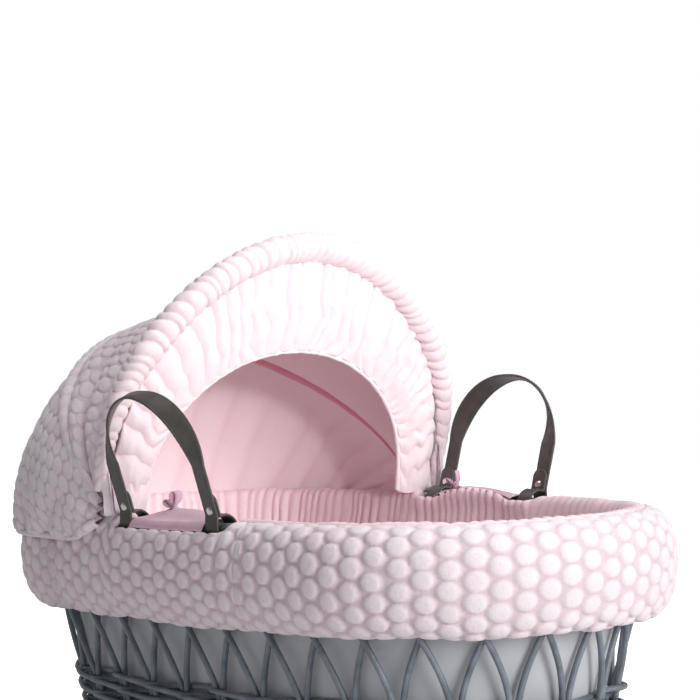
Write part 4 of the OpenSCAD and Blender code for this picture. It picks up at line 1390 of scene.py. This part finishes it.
    def front_lining(self) -> bpy.types.Object:
        """Lining between the hoops, hanging a little slack."""
        m, n = 360, 70
        us = np.linspace(0.012, 0.988, m)
        u = us[:, None] * np.ones((1, n))
        f = np.linspace(0, 1, n)[None] * np.ones((m, 1))
        rear_edge = self.at(us, self.rear + 0.006, -11 * MM, self.rear_foot)
        front_edge = self.at(us, math.radians(14.5), -10 * MM, self.front_foot)
        base = rear_edge[:, None] * (1 - f[..., None]) + front_edge[:, None] * f[..., None]
        slack = np.sin(np.pi * f) * (9 + 3 * wander2((u - 0.5) * 0.7, f * 0.2, 0.06, 3.0)) * MM
        pts = base - unit(base - np.array([-0.16, 0, 0.262])) * slack[..., None]
        # painted shade, strongest midway between the hoops where the lining sags
        obj = LINING.dress(shell_piece("hood_lining_front", pts, 1.2 * MM, hollow=0.25 * np.sin(np.pi * f)))
        self.blend(obj, np.concatenate([f.ravel(), f.ravel()]))
        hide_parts("hood_front_lining")
        return obj

    def rear_casing(self) -> list[bpy.types.Object]:
        """The fleece-covered ridge over the rear hoop and the strong pink strip inside it, whose colour is painted
        shade and painted light through the cloth.
        """
        us = np.linspace(0.02, 0.98, 420)
        path = self.at(us, self.rear, 8.5 * MM, self.rear_foot)
        size = (3.0 + 5.2 * np.clip(1.7 * np.sin(np.pi * us), 0, 1)) * MM
        size = size * (0.84 + 0.24 * cusps((us - 0.5) * 0.75 + 0.4, valley_places(0.9, 14 * MM, 21 * MM, 4), 0.6))
        batch = TubeBatch(sides=16)
        batch.add(path, size, (1, 0, 0.01))
        ridge = ride(FLEECE.dress(batch.piece("hood_ridge")), Body.HOOD_REAR, "hood_rear_casing")
        half = math.radians(1.55)
        us = np.linspace(0.03, 0.97, 360)[:, None] * np.ones((1, 9))
        f = np.linspace(-1, 1, 9)[None] * np.ones((360, 1))
        grow = -11.8 * MM - 1.6 * MM * (1 - f**2) + 0.5 * MM * wander2((us - 0.5) * 0.75, f * 0.005, 0.018, 5.0)
        # the strip's strong pink is painted shade and painted light through the cloth
        strip = SHADED_CASING.dress(shell_piece("hood_casing_strip", self.at(us, self.rear + half * f, grow, self.rear_foot),
                0.8 * MM))
        return [ridge, ride(strip, Body.HOOD_REAR)]

    def edge_ruffle(self) -> bpy.types.Object:
        """The plump gathered roll of fleece round the front hoop."""
        m, n = 1000, 26
        us = np.linspace(0.018, 0.982, m)
        run = (us - 0.5) * 0.74
        path = self.at(us, self.front, 8 * MM, self.front_foot)
        a, b = path_frames(path, (1, 0, 0.01))
        turn = np.arange(n) * 2 * np.pi / n
        twist = run[:, None] + 0.006 * np.sin(turn)[None] + 0.0025 * wander2(run[:, None], turn[None] * 0.01, 0.02, 3.0)
        valleys = valley_places(0.90, 8 * MM, 16 * MM, 21) - 0.45
        puff = cusps(twist, valleys, 0.55)
        size = (5.0 + 9.0 * np.clip(1.6 * np.sin(np.pi * us), 0, 1)) * MM
        radius = size[:, None] * (0.80 + 0.27 * puff + 0.07 * wander2(run[:, None], turn[None] * 0.012, 0.014, 9.0))
        ring = path[:, None] + radius[..., None] * (np.cos(turn)[None, :, None] * a[:, None] + np.sin(turn)[None, :,
                None] * b[:, None])
        faces = grid_faces(m, n, False, True) + [tuple(range(n)), tuple(range(m * n - 1, (m - 1) * n - 1, -1))]
        # painted shade in the valleys between the puffs
        obj = VISOR_FLEECE.dress(new_object("hood_edge_ruffle", ring, faces, hollow=np.clip((1 - puff) ** 2 * 0.7, 0,
                1)))
        return ride(obj, Body.HOOD_FRONT, "hood_edge_roll")

    def visor(self) -> list[bpy.types.Object]:
        """The gathered front: deeply set soft folds drawn in to an elastic mouth, with painted shade in the fold
        valleys.
        """
        m, n = 1100, 46
        us = np.linspace(0.006, 0.994, m)
        q = np.linspace(0, 1, n)[None]
        a = np.pi * us
        outer = self.at(us, self.front, -4 * MM, self.front_foot)
        x0, _, z0 = self.pivot
        lift = self.mouth_rise * np.sin(a) ** 0.96
        mouth = np.stack([x0 + lift * math.sin(self.front), self.mouth_half * np.cos(a),
                z0 + lift * math.cos(self.front)], axis=-1)
        forward = np.array([math.cos(self.front), 0, -math.sin(self.front)])
        tuck = np.exp(-((np.sin(a) / 0.13) ** 2)) * 13 * MM
        base = outer[:, None] * (1 - q[..., None]) + mouth[:, None] * q[..., None]
        base[..., 2] -= tuck[:, None]
        run = (us - 0.5)[:, None] * 0.62 + 0.010 * q * wander2((us - 0.5)[:, None] + 0 * q, q * 0.3, 0.06, 3.0)
        run = run + 0.0028 * wander2((us - 0.5)[:, None] * 0.7, q * 0.09, 0.022, 5.0)
        valleys = valley_places(0.84, 13 * MM, 27 * MM, 33) - 0.42
        fold = cusps(run, valleys, 0.75)
        ease = (1 - 0.62 * q) * smoothstep((q + 0.08) / 0.15)
        lumps = 0.9 * MM * wander2((us - 0.5)[:, None] * 0.62, q * 0.10, 0.011, 8.0) * (1 - 0.5 * q)
        face = 6 * MM * np.sin(np.pi * q) + 6.0 * MM * ease * (fold - 0.5) + lumps
        front = base + forward * (2.6 * MM + face)[..., None]
        back = base - forward * (1.6 * MM - 0.6 * face)[..., None]
        ring = np.concatenate([front, back[:, ::-1]], axis=1)
        w = ring.shape[1]
        faces = grid_faces(m, w, False, True) + [tuple(range(w)), tuple(range(m * w - 1, (m - 1) * w - 1, -1))]
        # painted shade in the fold valleys, half as strong on the back
        fold_shade = np.clip((1 - fold) ** 2.4 * (1 - 0.35 * q), 0, 1) * 0.6
        hollow = np.concatenate([fold_shade, 0.5 * fold_shade[:, ::-1]], axis=1)
        obj = VISOR_FLEECE.dress(new_object("hood_visor_gathers", ring, faces, hollow=hollow))
        ride(obj, Body.HOOD_FRONT, "hood_visor")
        us = np.linspace(0.010, 0.990, 700)
        a = np.pi * us
        lift = (self.mouth_rise - 1 * MM) * np.sin(a) ** 0.96
        line = np.stack([x0 + lift * math.sin(self.front), (self.mouth_half - 1 * MM) * np.cos(a),
                z0 + lift * math.cos(self.front)], axis=-1)
        line += forward * 0.8 * MM
        line[:, 2] -= np.exp(-((np.sin(a) / 0.13) ** 2)) * 13 * MM
        size = 2.5 * MM * (1 + 0.16 * wander((us - 0.5) * 0.6, 0.0045, 2.0) + 0.10 * wander((us - 0.5) * 0.6, 0.0021,
                6.0))
        batch = TubeBatch(sides=12)
        batch.add(line, size, (1, 0, 0.01))
        edge = ride(VISOR_FLEECE.dress(batch.piece("hood_mouth_edge")), Body.HOOD_FRONT, "visor_elastic")
        return [obj, edge]

    def hem(self) -> bpy.types.Object:
        """The gathered hem with its elastic, lying on the padding round the head end."""
        m, n = 900, 16
        s = self.head_shares(m, float(self.pivot[0]) - 8 * MM)
        run = s * self.plan.length
        tuck = np.exp(-(((0.5 - np.abs(np.linspace(-0.5, 0.5, m))) / 0.022) ** 2))
        path = self.plan.place(s, 29.0 * MM - 9 * MM * tuck, self.plan.rim_z - 16.8 * MM + 13 * MM * tuck)
        a, b = path_frames(path, (0, 0, 1))
        turn = np.arange(n) * 2 * np.pi / n
        puff = cusps(run[:, None] + 0.003 * np.sin(turn)[None], valley_places(2.2, 6 * MM, 12 * MM, 41), 0.6)
        radius = 3.1 * MM * (0.76 + 0.30 * puff) * smoothstep(np.sin(np.pi * np.linspace(0.02, 0.98, m)) / 0.1)[:, None]
        ring = path[:, None] + radius[..., None] * (np.cos(turn)[None, :, None] * a[:, None] + np.sin(turn)[None, :,
                None] * b[:, None])
        faces = grid_faces(m, n, False, True) + [tuple(range(n)), tuple(range(m * n - 1, (m - 1) * n - 1, -1))]
        # painted shade in the valleys between the puffs
        obj = FLEECE.dress(new_object("hood_hem_ruffle", ring, faces, hollow=(1 - puff) ** 2 * 0.8))
        return ride(obj, Body.BASKET, "hood_hem_elastic")

    def build(self) -> list[bpy.types.Object]:
        """Builds every piece of the hood and paints the frame that stays in view."""
        pieces = [self.front_cover(), self.back_cover(), self.back_lining(), self.front_lining()]
        pieces += self.rear_casing() + [self.edge_ruffle()] + self.visor() + [self.hem()]
        for node in ("hood_rear_hoop", "hood_front_hoop"):
            STEEL.repaint(node)
        NICKEL.repaint("hood_pivot_pins")
        for side in Side:
            CLIP.repaint(f"hood_bracket_{side.name.lower()}")
        return pieces


# ------------------------------------------------------------------ studio


@dataclass
class Studio:
    """A pale floor, soft light from the right and a long lens from the foot end's near side."""

    turn: float = math.radians(54)
    tilt: float = math.radians(3.6)
    roll: float = math.radians(2)
    distance: float = 2.75
    focal: float = 142.5

    def camera(self) -> None:
        """Places the camera."""
        ca, sa = math.cos(self.turn), math.sin(self.turn)
        back = np.array([sa * math.cos(self.tilt), -ca * math.cos(self.tilt), math.sin(self.tilt)])
        aim_low = np.array([0, 0, 0.24])
        place = aim_low + back * self.distance
        aim = aim_low + np.array([ca, sa, 0]) * 0.0265 + np.array([0, 0, 0.1635])
        d = unit(aim - place)
        r = unit(np.cross(d, [0, 0, 1]))
        u = np.cross(r, d)
        c, s = math.cos(self.roll), math.sin(self.roll)
        r, u = c * r - s * u, s * r + c * u
        data = bpy.data.cameras.new("view")
        data.lens = self.focal
        data.sensor_width = 36
        data.clip_end = 50
        cam = bpy.data.objects.new("view", data)
        bpy.context.scene.collection.objects.link(cam)
        cam.matrix_world = Matrix(((r[0], u[0], -d[0], place[0]), (r[1], u[1], -d[1], place[1]),
                                   (r[2], u[2], -d[2], place[2]), (0, 0, 0, 1)))
        bpy.context.scene.camera = cam

    def area(self, name: str, place: Sequence[float], size: float, power: float, colour: Sequence[float]) -> None:
        """Adds a square soft light aimed at the basket.

        Args:
            name: the light's name.
            place: where it hangs.
            size: its side.
            power: its power in watts.
            colour: its colour.
        """
        data = bpy.data.lights.new(name, "AREA")
        data.size = size
        data.energy = power
        data.color = colour
        light = bpy.data.objects.new(name, data)
        light.location = place
        light.rotation_euler = (Vector((0, 0, 0.28)) - Vector(place)).to_track_quat("-Z", "Y").to_euler()
        bpy.context.scene.collection.objects.link(light)

    def beam(self, name: str, place: Sequence[float], aim: Sequence[float], angle: float, power: float) -> None:
        """Adds a narrow soft-edged lamp.

        Args:
            name: lamp name.
            place: where it stands.
            aim: the point it shines at.
            angle: full width of its cone, in degrees.
            power: its power in watts.
        """
        data = bpy.data.lights.new(name, "SPOT")
        data.energy = power
        data.spot_size = math.radians(angle)
        data.spot_blend = 1.0
        data.shadow_soft_size = 0.18
        lamp = bpy.data.objects.new(name, data)
        lamp.location = place
        lamp.rotation_euler = (Vector(aim) - Vector(place)).to_track_quat("-Z", "Y").to_euler()
        bpy.context.scene.collection.objects.link(lamp)

    def lights(self) -> None:
        """Sets the key light, the fills and the white surround."""
        ca, sa = math.cos(self.turn), math.sin(self.turn)

        def spot(right: float, near: float, up: float) -> tuple[float, float, float]:
            """A place given as right of, towards and above the camera's view of the basket."""
            return (ca * right + sa * near, sa * right - ca * near, up)

        self.area("key", spot(3.3, 3.8, 1.5), 2.2, 165, (1.0, 0.99, 0.975))
        self.area("right_fill", spot(2.6, 0.2, 0.9), 1.2, 7, (1.0, 0.995, 0.985))
        self.area("top_fill", spot(0.4, 0.1, 2.3), 1.4, 22, (1.0, 1.0, 1.0))
        self.beam("hood_fill", (2.1, -0.42, 0.66), (-0.27, 0.05, 0.325), 6.6, 330)
        world = bpy.data.worlds.new("surround")
        world.use_nodes = True
        nodes, links = world.node_tree.nodes, world.node_tree.links
        fill = nodes["Background"]
        fill.inputs["Color"].default_value = (0.93, 0.95, 1.0, 1)
        fill.inputs["Strength"].default_value = 0.26
        seen = nodes.new("ShaderNodeBackground")
        seen.inputs["Color"].default_value = (1, 1, 1, 1)
        seen.inputs["Strength"].default_value = 1.0
        path = nodes.new("ShaderNodeLightPath")
        mix = nodes.new("ShaderNodeMixShader")
        links.new(path.outputs["Is Camera Ray"], mix.inputs["Fac"])
        links.new(fill.outputs["Background"], mix.inputs[1])
        links.new(seen.outputs["Background"], mix.inputs[2])
        links.new(mix.outputs["Shader"], nodes["World Output"].inputs["Surface"])
        bpy.context.scene.world = world
        bpy.context.scene.view_settings.view_transform = "Standard"

    def floor(self) -> None:
        """Lays the pale floor."""
        mesh = bpy.data.meshes.new("floor")
        turn = np.linspace(0, 2 * np.pi, 65)[:-1]
        mesh.from_pydata(np.stack([6 * np.cos(turn), 6 * np.sin(turn), 0 * turn], axis=-1).tolist(), [],
                [tuple(range(64))])
        floor = bpy.data.objects.new("floor", mesh)
        bpy.context.scene.collection.objects.link(floor)
        floor.data.materials.append(PAPER.material())
        shader = PAPER.material().node_tree.nodes["Principled BSDF"]
        shader.inputs["Emission Color"].default_value = (1, 1, 1, 1)
        links = PAPER.material().node_tree.links
        seen = PAPER.material().node_tree.nodes.new("ShaderNodeLightPath")
        links.new(seen.outputs["Is Camera Ray"], shader.inputs["Emission Strength"])

    def build(self) -> None:
        """Sets the whole studio."""
        self.camera()
        self.lights()
        self.floor()


PAPER = Finish("PaleFloor", "board", (0.93, 0.93, 0.93), (0.91, 0.91, 0.91), Texture.GRAIN, 300, 2, 0.02, 0.0002,
        roughness=0.85)


def main() -> None:
    """Builds the basket's pieces in order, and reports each."""
    logging.basicConfig(level=logging.INFO, format="%(name)s %(message)s")
    Studio().build()
    BOARD.repaint("base_board")
    for maker in (WillowBody(PLAN), Dressing(PLAN), Handles(), Hood(PLAN)):
        for piece in maker.build():
            report(piece)


if __name__ == "__main__":
    main()
